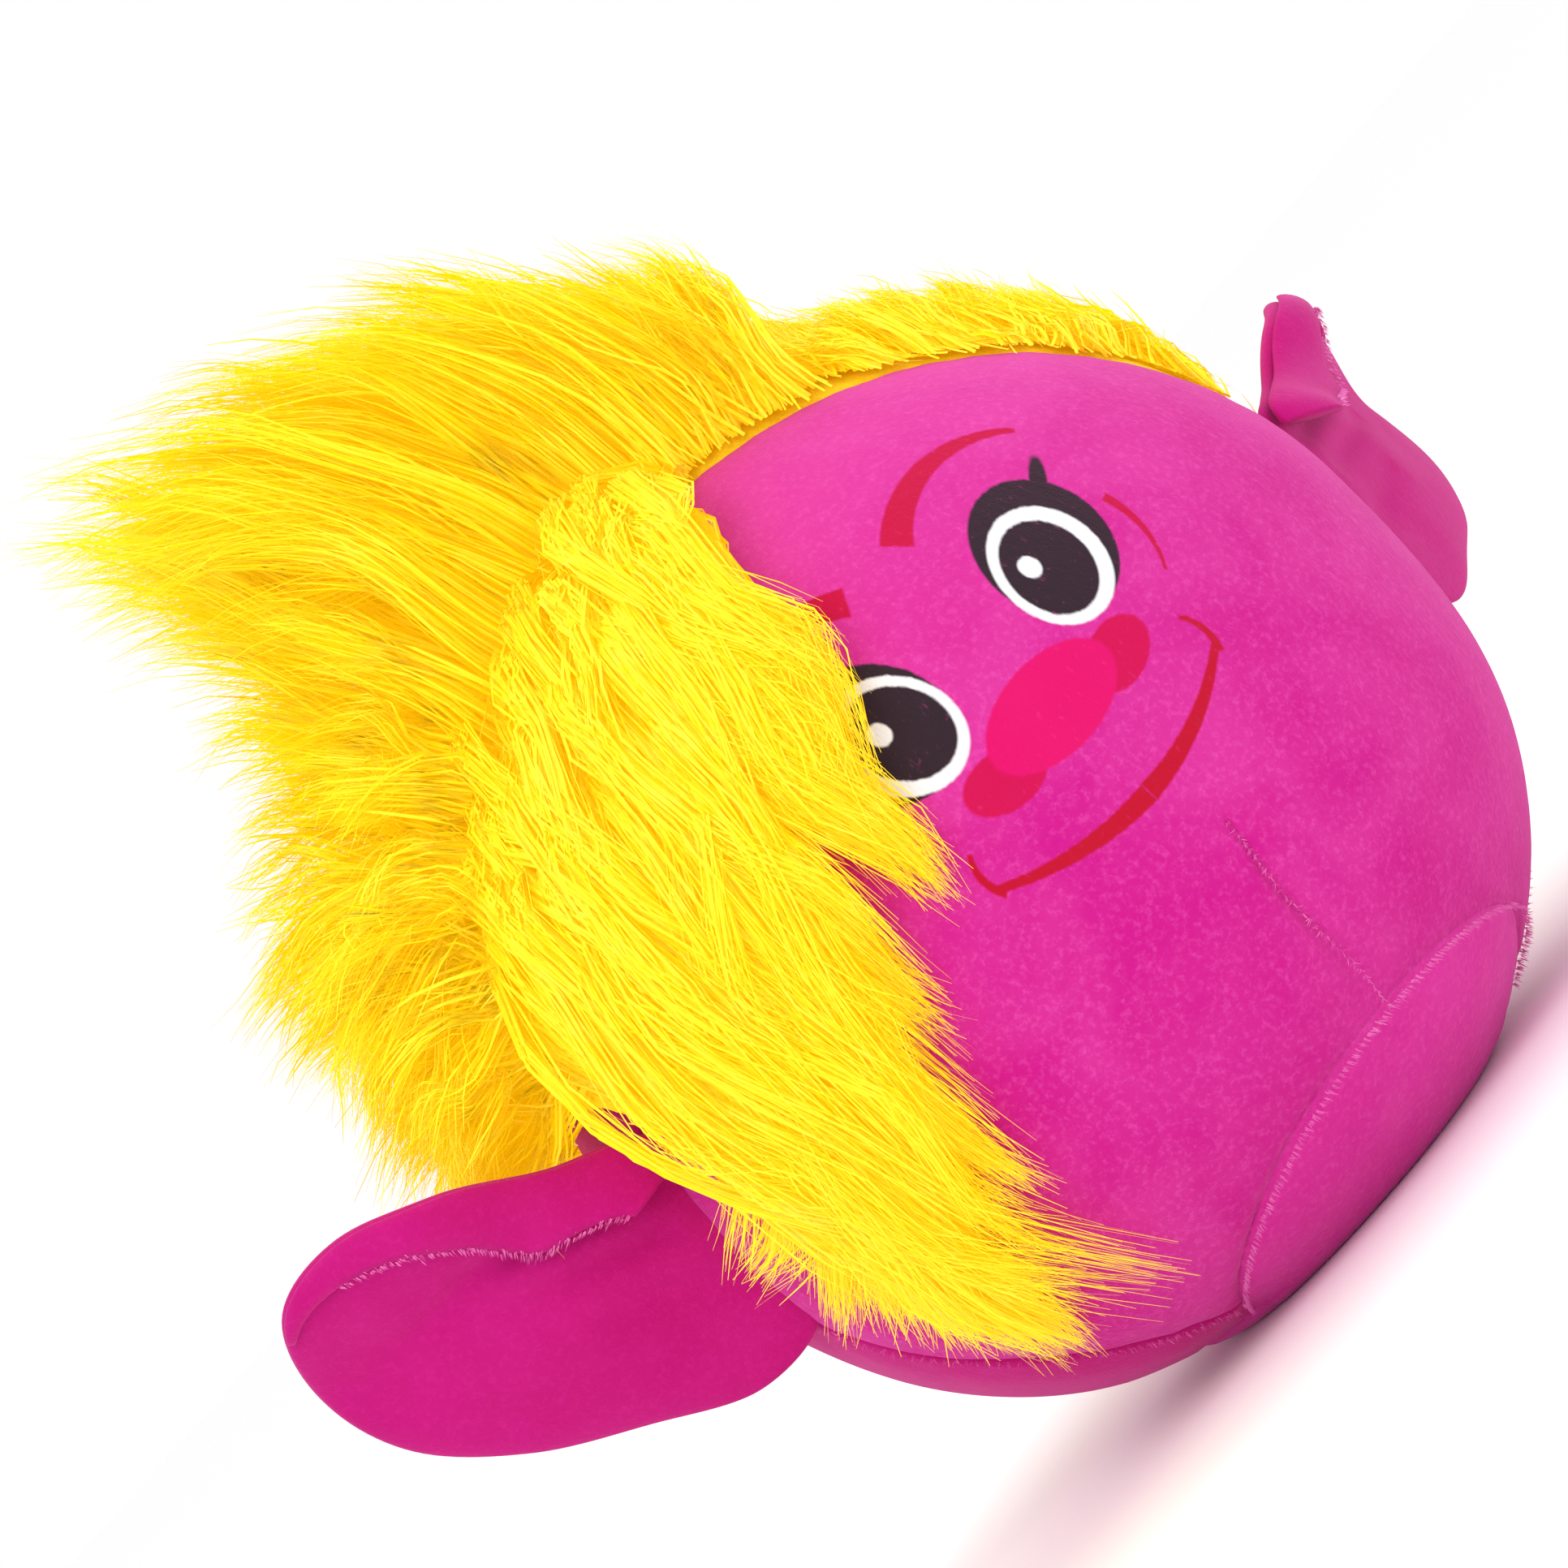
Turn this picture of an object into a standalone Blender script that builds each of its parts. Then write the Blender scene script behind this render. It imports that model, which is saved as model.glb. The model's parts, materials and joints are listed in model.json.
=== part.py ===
"""A stuffed plush head: a velour cushion in the shape of a round head, with padded ears and long-pile fur hair.

Frame: metres, +Z up, the face looks towards -Y, and the origin is the centre of the flat base.
Left is -X and right is +X, as seen by someone who faces the head.

The skin is cut into panels by seam planes. Most pass through the head's centre, so that those seams are great
arcs between two landmarks, and a tilted plane cuts the arched seam under the chin. The head is first made
mirror-even, and then its stuffed base is turned a little. Each ear hangs on a hinge empty along its sewn root.
"""

import math

import bmesh
import bpy
from mathutils import Matrix, Vector

MM = 0.001
HALVINGS = 30

# Head form: an ellipsoid above its centre, a fuller one below it, cut off flat where it rests.
CENTRE = Vector((0.0, 0.0, 150 * MM))
HALF_WIDTH = 154 * MM
HALF_DEPTH = 132 * MM
UPPER_HEIGHT = 150 * MM
LOWER_HEIGHT = 157 * MM
UPPER_FULLNESS = 2.0
LOWER_FULLNESS = 2.35

# The lowest part of the stuffed head is turned to the right, about +Z, by this many degrees.
BASE_TURN = 8.0
TURN_FROM, TURN_TO = 20 * MM, 95 * MM

# Layers, as depths below the head's surface.
SKIN = 2.5 * MM
THREAD_DEPTH = 4.2 * MM
FILLING_DEPTH = 5.4 * MM
SEAM_GAP = 0.8 * MM
THREAD_RADIUS = 0.5 * MM
THREAD_END_CLEARANCE = 3 * MM
SCALP_SKIN = 2.0 * MM

# Mesh fineness: segments around and from pole to pole.
SKIN_SEGMENTS = (40, 20)
FILLING_SEGMENTS = (24, 12)
PILE_SEGMENTS = (32, 16)
EAR_SEGMENTS = (20, 10)
WADDING_SEGMENTS = (16, 8)

# Seam landmarks: degrees round from the face's centre line, and height above the base.
HAIRLINE_TOP_SETBACK = 43 * MM
EAR_FOOT = (85.0, 97 * MM)
TEMPLE = (72.0, 190 * MM)
CHIN_CORNER = (60.0, 9 * MM)
CHIN_MIDDLE = (0.0, 42 * MM)
DART_TOP = (4.0, 114 * MM)
NAPE = (180.0, 150 * MM)
BASE_SEAM_HEIGHT = 4 * MM
BACK_FOOT = (180.0, BASE_SEAM_HEIGHT)
DART_HALF_WIDTH = 0.4 * MM
DART_REACH = 30 * MM

# Fur pile, as the thickness that it adds to the head. Angles go round the Y axis from +X over the top to -X.
PILE_CLEARANCE = 1.5 * MM
PILE_SIDE_GAP = 3 * MM
RIGHT_PILE = 17 * MM
LEFT_PILE = 72 * MM
CREST_PILE = 68 * MM
BACK_PILE = 26 * MM
CREST_ANGLE = 115.0
CREST_SPREAD = 15.0
RISE_FROM, RISE_TO = 58.0, 84.0
FRINGE_FROM, FRINGE_TO = 24.0, 66.0
CREST_TO = 128.0
SIDE_TO = 159.0
BACK_FROM = 55 * MM
FORELOCK_PILE = 20 * MM
FORELOCK_OUTER_AZIMUTH = 64.0
FORELOCK_INNER = Vector((-52 * MM, -122 * MM, 190 * MM))
FORELOCK_TIP_HEIGHT = 58 * MM

# Ears: a leaf outline as (out from the root, up along the root), and how far each one leans back.
EAR_OUTLINE = (
    (2, 1), (16, -3), (44, 8), (74, 22), (99, 44), (107, 72), (98, 101), (74, 111), (45, 104), (20, 86), (2, 78),
    (7, 58), (7, 22),
)
EAR_MIDDLE = (56, 55)
EAR_ROOT_CLEARANCE = 8.5 * MM
EAR_BULGE = 7.5 * MM
EAR_RIM = 1.15 * MM
EAR_SKIN = 0.8 * MM
EAR_LIP = 16 * MM
EAR_LIP_FROM, EAR_LIP_TO = 66 * MM, 112 * MM
EAR_LIP_TAPER = 60 * MM
EAR_THREAD_SCALE = 0.91
EAR_THREAD_FROM, EAR_THREAD_TO = 0.1, 0.7
EAR_THREAD_POINTS = 26
EAR_WADDING_SCALE = 0.84
EAR_WADDING_BULGE = 4.5 * MM
EAR_ROOT_FULLNESS = 0.4
EAR_ROOT_TAPER = 45 * MM
EAR_FOOT_HEIGHT, EAR_HEAD_HEIGHT = 97 * MM, 175 * MM
EAR_LEAN = {"left": 20.0, "right": 49.0}
EAR_DROOP = {"left": -0.1, "right": 0.42}
EAR_TWIST = {"left": 0.0, "right": 2.4}
EAR_TWIST_FROM = 15 * MM
SIDES = {"left": -1, "right": 1}

# How many points each thread is drawn with, and the ends of the base thread in degrees round from the face.
SHORT_THREAD, MIDDLE_THREAD, LONG_THREAD, BASE_THREAD = 8, 12, 18, 30
CHIN_THREAD_FROM, CHIN_THREAD_TO = 3.0, 56.0
BASE_THREAD_FROM, BASE_THREAD_TO = 66.0, 294.0

# Colours as sRGB, 0 to 255.
FACE_PINK = (222, 42, 160)
BASE_PINK = (230, 55, 165)
MAGENTA = (205, 0, 132)
FUR_YELLOW = (250, 220, 0)
BACKING_YELLOW = (232, 196, 20)
THREAD_PINK = (188, 10, 118)
FIBRE_WHITE = (236, 236, 232)


# ---------------------------------------------------------------- scene helpers


def clear_scene():
    for item in list(bpy.data.objects):
        bpy.data.objects.remove(item)


def new_collection(name):
    collection = bpy.data.collections.new(name)
    bpy.context.scene.collection.children.link(collection)
    return collection


def linear(channel):
    value = channel / 255
    return value / 12.92 if value <= 0.04045 else ((value + 0.055) / 1.055) ** 2.4


def material(name, colour, roughness):
    made = bpy.data.materials.new(name)
    made.use_nodes = True
    surface = made.node_tree.nodes["Principled BSDF"]
    surface.inputs["Base Color"].default_value = (*(linear(c) for c in colour), 1.0)
    surface.inputs["Roughness"].default_value = roughness
    surface.inputs["Metallic"].default_value = 0.0
    return made


def add_object(name, data, collection, finish, parent=None):
    data.materials.append(finish)
    item = bpy.data.objects.new(name, data)
    collection.objects.link(item)
    item.parent = parent
    return item


def mesh_object(name, bm, collection, finish, parent=None):
    bmesh.ops.dissolve_degenerate(bm, dist=5e-5, edges=bm.edges[:])
    mesh = bpy.data.meshes.new(name)
    bm.to_mesh(mesh)
    bm.free()
    mesh.shade_smooth()
    mesh.set_sharp_from_angle(angle=math.radians(40))
    return add_object(name, mesh, collection, finish, parent)


def thicken(item, thickness):
    """Gives an open surface its cloth thickness, inwards."""
    solid = item.modifiers.new("cloth", "SOLIDIFY")
    solid.thickness = thickness
    solid.offset = -1.0
    solid.use_even_offset = True
    return item


def thread(name, points, collection, finish, parent=None):
    """One line of sewing thread as a thin round tube."""
    curve = bpy.data.curves.new(name, "CURVE")
    curve.dimensions = "3D"
    curve.bevel_depth = THREAD_RADIUS
    curve.bevel_resolution = 0
    curve.use_fill_caps = True
    line = curve.splines.new("POLY")
    line.points.add(len(points) - 1)
    for spot, place in zip(line.points, points):
        spot.co = (*place, 1.0)
    return add_object(name, curve, collection, finish, parent)


def smoothstep(low, high, value):
    share = min(max((value - low) / (high - low), 0.0), 1.0)
    return share * share * (3 - 2 * share)


def evenly(first, last, count):
    return [first + (last - first) * step / (count - 1) for step in range(count)]


def halve(low, high, is_low):
    """The value between low and high up to which the test holds, found by halving."""
    for _ in range(HALVINGS):
        middle = (low + high) / 2
        if is_low(middle):
            low = middle
        else:
            high = middle
    return low


# ---------------------------------------------------------------- head form


def form_of(rise):
    """Half-height and fullness of the head above or below its centre."""
    return (UPPER_HEIGHT, UPPER_FULLNESS) if rise > 0 else (LOWER_HEIGHT, LOWER_FULLNESS)


def head_point(direction, depth=0.0):
    """The head's surface in a direction from its centre, moved inwards by depth."""
    heading = direction.normalized()
    height, power = form_of(heading.z)
    level = math.hypot(heading.x / (HALF_WIDTH - depth), heading.y / (HALF_DEPTH - depth))
    reach = (level**power + (abs(heading.z) / (height - depth)) ** power) ** (-1 / power)
    point = CENTRE + heading * reach
    point.z = max(point.z, depth)
    return point


def ring_point(azimuth, height, depth=0.0):
    """The head's surface at an angle round from the face's centre line and a height above the base."""
    rise = height - CENTRE.z
    half_height, power = form_of(rise)
    level = (1 - (abs(rise) / (half_height - depth)) ** power) ** (1 / power)
    turn = math.radians(azimuth)
    return Vector(
        (
            (HALF_WIDTH - depth) * level * math.sin(turn),
            -(HALF_DEPTH - depth) * level * math.cos(turn),
            height,
        )
    )


def hairline_top():
    """The middle of the hairline, a little in front of the crown."""
    rise = UPPER_HEIGHT * math.sqrt(1 - (HAIRLINE_TOP_SETBACK / HALF_DEPTH) ** 2)
    return Vector((0.0, -HAIRLINE_TOP_SETBACK, CENTRE.z + rise))


def flipped(point):
    """The mirror image of a point or direction on the other side of the face."""
    return Vector((-point.x, point.y, point.z))


def settled(point):
    """Where a point of the mirror-even head lies once the stuffed base has turned."""
    turn = math.radians(BASE_TURN) * (1 - smoothstep(TURN_FROM, TURN_TO, point.z))
    return Matrix.Rotation(turn, 3, "Z") @ point


def seam_plane(start, end, towards):
    """The unit normal of the seam plane through the centre and two landmarks, on the side of a third point."""
    normal = (start - CENTRE).cross(end - CENTRE).normalized()
    return normal if normal.dot(towards - CENTRE) > 0 else -normal


def chin_plane():
    """The unit normal, upwards, of the plane that arches from the chin's middle down to both its corners."""
    slope = ring_point(*CHIN_CORNER) - ring_point(*CHIN_MIDDLE)
    return Vector((0.0, -slope.z, slope.y)).normalized()


NOSE = ring_point(0.0, 160 * MM)
HAIRLINE = seam_plane(ring_point(*EAR_FOOT), hairline_top(), NOSE)
CHEEK = seam_plane(ring_point(*EAR_FOOT), ring_point(*CHIN_CORNER), NOSE)
SCALP = seam_plane(ring_point(*TEMPLE), ring_point(*NAPE), hairline_top())
DART = seam_plane(ring_point(*DART_TOP), ring_point(*CHIN_MIDDLE), ring_point(90.0, 150 * MM))
CHIN = chin_plane()
CHIN_TOP = ring_point(*CHIN_MIDDLE)
SIDEWAYS = Vector((1.0, 0.0, 0.0))
BACKWARDS = Vector((0.0, 1.0, 0.0))
UPWARDS = Vector((0.0, 0.0, 1.0))
BASE_SEAM = Vector((0.0, 0.0, BASE_SEAM_HEIGHT))


def side_of(normal, point):
    """How far a point of the right half is from a seam plane. Points of the left half are mirrored first."""
    return normal.dot(Vector((abs(point.x), point.y, point.z)) - CENTRE)


def is_face_side(point, margin):
    return side_of(HAIRLINE, point) > margin and side_of(CHEEK, point) > margin


def is_above_chin(point, margin):
    return CHIN.dot(point - CHIN_TOP) > margin


def head_mesh(segments, depth=0.0):
    """The whole head's surface as a closed mesh."""
    bm = bmesh.new()
    bmesh.ops.create_uvsphere(bm, u_segments=segments[0], v_segments=segments[1], radius=1.0)
    for vert in bm.verts:
        vert.co = head_point(vert.co, depth)
    return bm


def slice_along(bm, normal, shift=0.0, through=CENTRE, within=None):
    """Adds an edge line where a plane crosses the mesh, or only its faces that pass the test within."""
    faces = [face for face in bm.faces if within is None or within(face.calc_center_median())]
    edges = {edge for face in faces for edge in face.edges}
    verts = {vert for face in faces for vert in face.verts}
    bmesh.ops.bisect_plane(
        bm,
        geom=[*faces, *edges, *verts],
        dist=1e-6,
        plane_co=through + normal * shift,
        plane_no=normal,
    )


def slice_both_sides(bm, normal, shift):
    """Slices the right half along a seam plane and the left half along its mirror image."""
    slice_along(bm, normal, shift, within=lambda spot: spot.x > 0)
    slice_along(bm, flipped(normal), shift, within=lambda spot: spot.x < 0)


def keep_faces(bm, test):
    gone = [face for face in bm.faces if not test(face.calc_center_median())]
    bmesh.ops.delete(bm, geom=gone, context="FACES")


def mirror_mesh(bm):
    bmesh.ops.scale(bm, vec=(-1.0, 1.0, 1.0), verts=bm.verts[:])
    bmesh.ops.reverse_faces(bm, faces=bm.faces[:])


def settle_mesh(bm):
    for vert in bm.verts:
        vert.co = settled(vert.co)


def skin_object(name, bm, collection, finish, thickness):
    """A finished skin panel: turned with the base, and given its cloth thickness."""
    settle_mesh(bm)
    return thicken(mesh_object(name, bm, collection, finish), thickness)


# ---------------------------------------------------------------- skin panels


def face_panel(collection, finish):
    """The printed front panel, with a dart slit up the middle of the chin."""
    gap = SEAM_GAP / 2
    bm = head_mesh(SKIN_SEGMENTS)
    slice_along(bm, SIDEWAYS)
    for normal in (HAIRLINE, CHEEK):
        slice_both_sides(bm, normal, gap)
    slice_along(bm, CHIN, gap, through=CHIN_TOP)
    keep_faces(bm, lambda spot: is_face_side(spot, gap) and is_above_chin(spot, gap))
    dart_height = Vector((0.0, 0.0, DART_TOP[1]))
    slice_along(bm, UPWARDS, through=dart_height, within=lambda spot: abs(spot.x) < DART_REACH)
    for edge in (-DART_HALF_WIDTH, DART_HALF_WIDTH):
        slice_along(bm, DART, edge, within=lambda spot: spot.z < DART_TOP[1] and abs(spot.x) < DART_REACH)
    keep_faces(bm, lambda spot: abs(DART.dot(spot - CENTRE)) > DART_HALF_WIDTH or spot.z > DART_TOP[1])
    return skin_object("face_panel", bm, collection, finish, SKIN)


def base_panel(collection, finish):
    """The panel under the chin and over the whole flat base, up to the low seam round the back."""
    gap = SEAM_GAP / 2
    bm = head_mesh(SKIN_SEGMENTS)
    slice_along(bm, CHIN, -gap, through=CHIN_TOP)
    slice_along(bm, UPWARDS, -gap, through=BASE_SEAM)
    keep_faces(bm, lambda spot: not is_above_chin(spot, -gap) or spot.z < BASE_SEAM_HEIGHT - gap)
    return skin_object("base_panel", bm, collection, finish, SKIN)


def back_panel(side, collection, finish):
    """One half of the lower back, from the ear and cheek seam round to the centre back seam."""
    gap = SEAM_GAP / 2
    bm = head_mesh(SKIN_SEGMENTS)
    slice_along(bm, SIDEWAYS, gap)
    keep_faces(bm, lambda spot: spot.x > gap)
    for normal in (HAIRLINE, CHEEK, SCALP):
        slice_along(bm, normal, -gap)
    slice_along(bm, CHIN, gap, through=CHIN_TOP)
    slice_along(bm, UPWARDS, gap, through=BASE_SEAM)

    def keep(spot):
        above_base = is_above_chin(spot, gap) and spot.z > BASE_SEAM_HEIGHT + gap
        return above_base and not is_face_side(spot, -gap) and side_of(SCALP, spot) < -gap

    keep_faces(bm, keep)
    if SIDES[side] < 0:
        mirror_mesh(bm)
    return skin_object(f"back_panel_{side}", bm, collection, finish, SKIN)


def scalp_panel(side, collection, finish):
    """The knitted backing of one half of the fur, behind the hairline."""
    gap = SEAM_GAP / 2
    bm = head_mesh(SKIN_SEGMENTS)
    slice_along(bm, SIDEWAYS, gap)
    keep_faces(bm, lambda spot: spot.x > gap)
    slice_along(bm, HAIRLINE, -gap)
    slice_along(bm, SCALP, gap)
    keep_faces(bm, lambda spot: side_of(HAIRLINE, spot) < -gap and side_of(SCALP, spot) > gap)
    if SIDES[side] < 0:
        mirror_mesh(bm)
    return skin_object(f"scalp_{side}", bm, collection, finish, SCALP_SKIN)


def filling(collection, finish):
    """The fibre stuffing that fills the skin."""
    bm = head_mesh(FILLING_SEGMENTS, FILLING_DEPTH)
    settle_mesh(bm)
    return mesh_object("fibre_filling", bm, collection, finish)


# ---------------------------------------------------------------- fur pile


def pile_angle(heading):
    """Degrees round the Y axis, from +X over the top to -X."""
    return math.degrees(math.atan2(heading.z, heading.x))


def pile_height(heading):
    """How far the fur stands off the scalp: low on the right, a tall crest that leans left, long on the left."""
    angle = pile_angle(heading)
    rise = LEFT_PILE * smoothstep(RISE_FROM, RISE_TO, angle)
    crest = CREST_PILE * math.exp(-(((angle - CREST_ANGLE) / CREST_SPREAD) ** 2))
    coronal = (1 - heading.y**2) ** 2
    return RIGHT_PILE + (rise + crest) * coronal + BACK_PILE * max(heading.y, 0.0)


def angle_plane(degrees):
    """The normal of the plane through the centre and the Y axis, at an angle round that axis."""
    turn = math.radians(degrees)
    return Vector((-math.sin(turn), 0.0, math.cos(turn)))


def pile_solid(name, slices, keep, height, collection, finish):
    """A lock of fur: a patch of the head's surface drawn outwards by the height of the pile."""
    bm = head_mesh(PILE_SEGMENTS, -PILE_CLEARANCE)
    for normal, shift, through in slices:
        slice_along(bm, normal, shift, through=through)
    keep_faces(bm, keep)
    for vert in bm.verts:
        vert.co = head_point(vert.co - CENTRE, -PILE_CLEARANCE)
    drawn = bmesh.ops.extrude_face_region(bm, geom=bm.faces[:], use_keep_orig=True)["geom"]
    for vert in (item for item in drawn if isinstance(item, bmesh.types.BMVert)):
        heading = (vert.co - CENTRE).normalized()
        vert.co += heading * height(heading)
    bmesh.ops.recalc_face_normals(bm, faces=bm.faces[:])
    settle_mesh(bm)
    return mesh_object(name, bm, collection, finish)


def crown_pile(name, low, high, collection, finish):
    """The fur between two angles round the Y axis, from the hairline to the back of the crown."""
    gap = PILE_SIDE_GAP / 2
    start, end = angle_plane(low), angle_plane(high)
    slices = [
        (HAIRLINE, -gap, CENTRE),
        (flipped(HAIRLINE), -gap, CENTRE),
        (start, gap, CENTRE),
        (end, -gap, CENTRE),
        (BACKWARDS, BACK_FROM - gap, CENTRE),
    ]

    def keep(spot):
        offset = spot - CENTRE
        on_crown = side_of(HAIRLINE, spot) < -gap and spot.y < BACK_FROM - gap
        between = start.dot(offset) > gap and end.dot(offset) < -gap
        return on_crown and between and low < pile_angle(offset) < high

    return pile_solid(name, slices, keep, pile_height, collection, finish)


def back_pile(collection, finish):
    """The fur over the back of the crown, down to the scalp's lower seam."""
    gap = PILE_SIDE_GAP / 2
    slices = [
        (BACKWARDS, BACK_FROM + gap, CENTRE),
        (SCALP, gap, CENTRE),
        (flipped(SCALP), gap, CENTRE),
    ]

    def keep(spot):
        return spot.y > BACK_FROM + gap and side_of(SCALP, spot) > gap

    return pile_solid("hair_back", slices, keep, pile_height, collection, finish)


def forelock(collection, finish):
    """The long lock that falls from the hairline over the left side of the face."""
    gap = PILE_SIDE_GAP / 2
    inner = seam_plane(hairline_top(), FORELOCK_INNER, ring_point(-90.0, CENTRE.z))
    outer = seam_plane(CENTRE + UPWARDS, ring_point(-FORELOCK_OUTER_AZIMUTH, CENTRE.z), NOSE)
    tip = Vector((0.0, 0.0, FORELOCK_TIP_HEIGHT))
    slices = [
        (flipped(HAIRLINE), gap, CENTRE),
        (inner, gap, CENTRE),
        (outer, gap, CENTRE),
        (UPWARDS, 0.0, tip),
    ]

    def keep(spot):
        offset = spot - CENTRE
        on_face = flipped(HAIRLINE).dot(offset) > gap and offset.x < 0
        in_lock = inner.dot(offset) > gap and outer.dot(offset) > gap
        return on_face and in_lock and spot.z > FORELOCK_TIP_HEIGHT

    return pile_solid("hair_forelock", slices, keep, lambda heading: FORELOCK_PILE, collection, finish)


# ---------------------------------------------------------------- ears


def outline_point(share):
    """A point of the ear's outline, share of the way round, on a smooth closed curve through its corners."""
    count = len(EAR_OUTLINE)
    position = share * count
    first = math.floor(position)
    part = position - first
    before, start, end, after = (Vector(EAR_OUTLINE[(first + step) % count]) for step in (-1, 0, 1, 2))
    lead, trail = (end - before) / 2, (after - start) / 2
    cubed, squared = part**3, part**2
    return (
        start * (2 * cubed - 3 * squared + 1)
        + lead * (cubed - 2 * squared + part)
        + end * (3 * squared - 2 * cubed)
        + trail * (cubed - squared)
    )


def lip(out, along):
    """How far the ear's upper edge curls forward."""
    return -EAR_LIP * smoothstep(EAR_LIP_FROM, EAR_LIP_TO, along) * smoothstep(0.0, EAR_LIP_TAPER, out)


def ear_place(side, share, spread, swell):
    """A point of the ear: share of the way round, spread from its middle to its rim, swell towards the back."""
    middle = Vector(EAR_MIDDLE)
    out, along = (middle + (outline_point(share) - middle) * spread) * MM
    twist = EAR_TWIST[side] * max(along - EAR_TWIST_FROM, 0.0) * max(out, 0.0)
    back = swell + twist + lip(out, along)
    along -= EAR_DROOP[side] * out
    return Vector((SIDES[side] * (out + EAR_ROOT_CLEARANCE), back, along))


def ear_sphere(side, segments):
    """A unit sphere whose poles lie on the ear's front and back, wound so that it faces out once placed."""
    bm = bmesh.new()
    bmesh.ops.create_uvsphere(bm, u_segments=segments[0], v_segments=segments[1], radius=1.0)
    bmesh.ops.rotate(bm, verts=bm.verts[:], matrix=Matrix.Rotation(math.radians(90), 3, "X"))
    if SIDES[side] < 0:
        bmesh.ops.reverse_faces(bm, faces=bm.faces[:])
    return bm


def press_onto_ear(bm, side, scale, rim, bulge, root_fullness):
    """Flattens the sphere onto the ear's outline: rim off the middle plane at its edge, flatter near the root."""
    for vert in bm.verts:
        share = (math.atan2(vert.co.z, vert.co.x) / math.tau) % 1.0
        spread = math.hypot(vert.co.x, vert.co.z)
        out = abs(ear_place(side, share, scale * spread, 0.0).x) - EAR_ROOT_CLEARANCE
        fullness = root_fullness + (1 - root_fullness) * smoothstep(0.0, EAR_ROOT_TAPER, out)
        vert.co = ear_place(side, share, scale * spread, rim + bulge * fullness * vert.co.y)


def ear_layer(side, name, facing, collection, finish, hinge):
    """The front or back cloth of an ear."""
    bm = ear_sphere(side, EAR_SEGMENTS)
    keep_faces(bm, lambda spot: spot.y * facing > 0)
    press_onto_ear(bm, side, 1.0, facing * EAR_RIM, EAR_BULGE, EAR_ROOT_FULLNESS)
    return thicken(mesh_object(name, bm, collection, finish, hinge), EAR_SKIN)


def ear_wadding(side, collection, finish, hinge):
    bm = ear_sphere(side, WADDING_SEGMENTS)
    press_onto_ear(bm, side, EAR_WADDING_SCALE, 0.0, EAR_WADDING_BULGE, 0.0)
    return mesh_object(f"ear_{side}_wadding", bm, collection, finish, hinge)


def ear_thread(side, collection, finish, hinge):
    """The stitch line inside the ear's edge, left open along the root."""
    shares = evenly(EAR_THREAD_FROM, EAR_THREAD_TO, EAR_THREAD_POINTS)
    points = [ear_place(side, share, EAR_THREAD_SCALE, 0.0) for share in shares]
    return thread(f"ear_{side}_edge_thread", points, collection, finish, hinge)


def ear_hinge(side, collection):
    """The empty on the line where the ear is sewn in. Its Z axis runs up the root and its X axis points right."""
    foot = ring_at_seam(EAR_FOOT_HEIGHT)
    head = ring_at_seam(EAR_HEAD_HEIGHT)
    if SIDES[side] < 0:
        foot, head = flipped(foot), flipped(head)
    up = (head - foot).normalized()
    right = (SIDEWAYS - up * up.x).normalized()
    back = up.cross(right)
    frame = Matrix((right, back, up)).transposed().to_4x4()
    lean = Matrix.Rotation(math.radians(SIDES[side] * EAR_LEAN[side]), 4, "Z")
    hinge = bpy.data.objects.new(f"ear_{side}_hinge", None)
    hinge.matrix_world = Matrix.Translation(foot) @ frame @ lean
    collection.objects.link(hinge)
    return hinge


def ring_at_seam(height):
    """The point of the right hairline seam at a height."""
    azimuth = halve(40.0, 120.0, lambda turn: side_of(HAIRLINE, ring_point(turn, height)) > 0)
    return ring_point(azimuth, height)


def build_ear(side, collection, velour, fibre, cotton):
    hinge = ear_hinge(side, collection)
    ear_layer(side, f"ear_{side}_front", -1, collection, velour, hinge)
    ear_layer(side, f"ear_{side}_back", 1, collection, velour, hinge)
    ear_wadding(side, collection, fibre, hinge)
    ear_thread(side, collection, cotton, hinge)


# ---------------------------------------------------------------- seam threads


def arc(start, end, count):
    """Points just under the skin along the seam between two landmarks, short of both by the end clearance."""
    first, last = (start - CENTRE).normalized(), (end - CENTRE).normalized()
    opening = first.angle(last)
    trim = THREAD_END_CLEARANCE / HALF_DEPTH / opening
    points = []
    for share in evenly(trim, 1 - trim, count):
        heading = first * math.sin((1 - share) * opening) + last * math.sin(share * opening)
        points.append(settled(head_point(heading, THREAD_DEPTH)))
    return points


def chin_arc(sign):
    """Points just under the skin along one half of the arched chin seam."""
    points = []
    for azimuth in evenly(CHIN_THREAD_FROM, CHIN_THREAD_TO, SHORT_THREAD):
        lowest = THREAD_DEPTH + THREAD_RADIUS
        height = halve(
            lowest,
            CENTRE.z,
            lambda level: not is_above_chin(ring_point(azimuth, level, THREAD_DEPTH), 0.0),
        )
        points.append(settled(ring_point(sign * azimuth, max(height, lowest), THREAD_DEPTH)))
    return points


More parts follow.
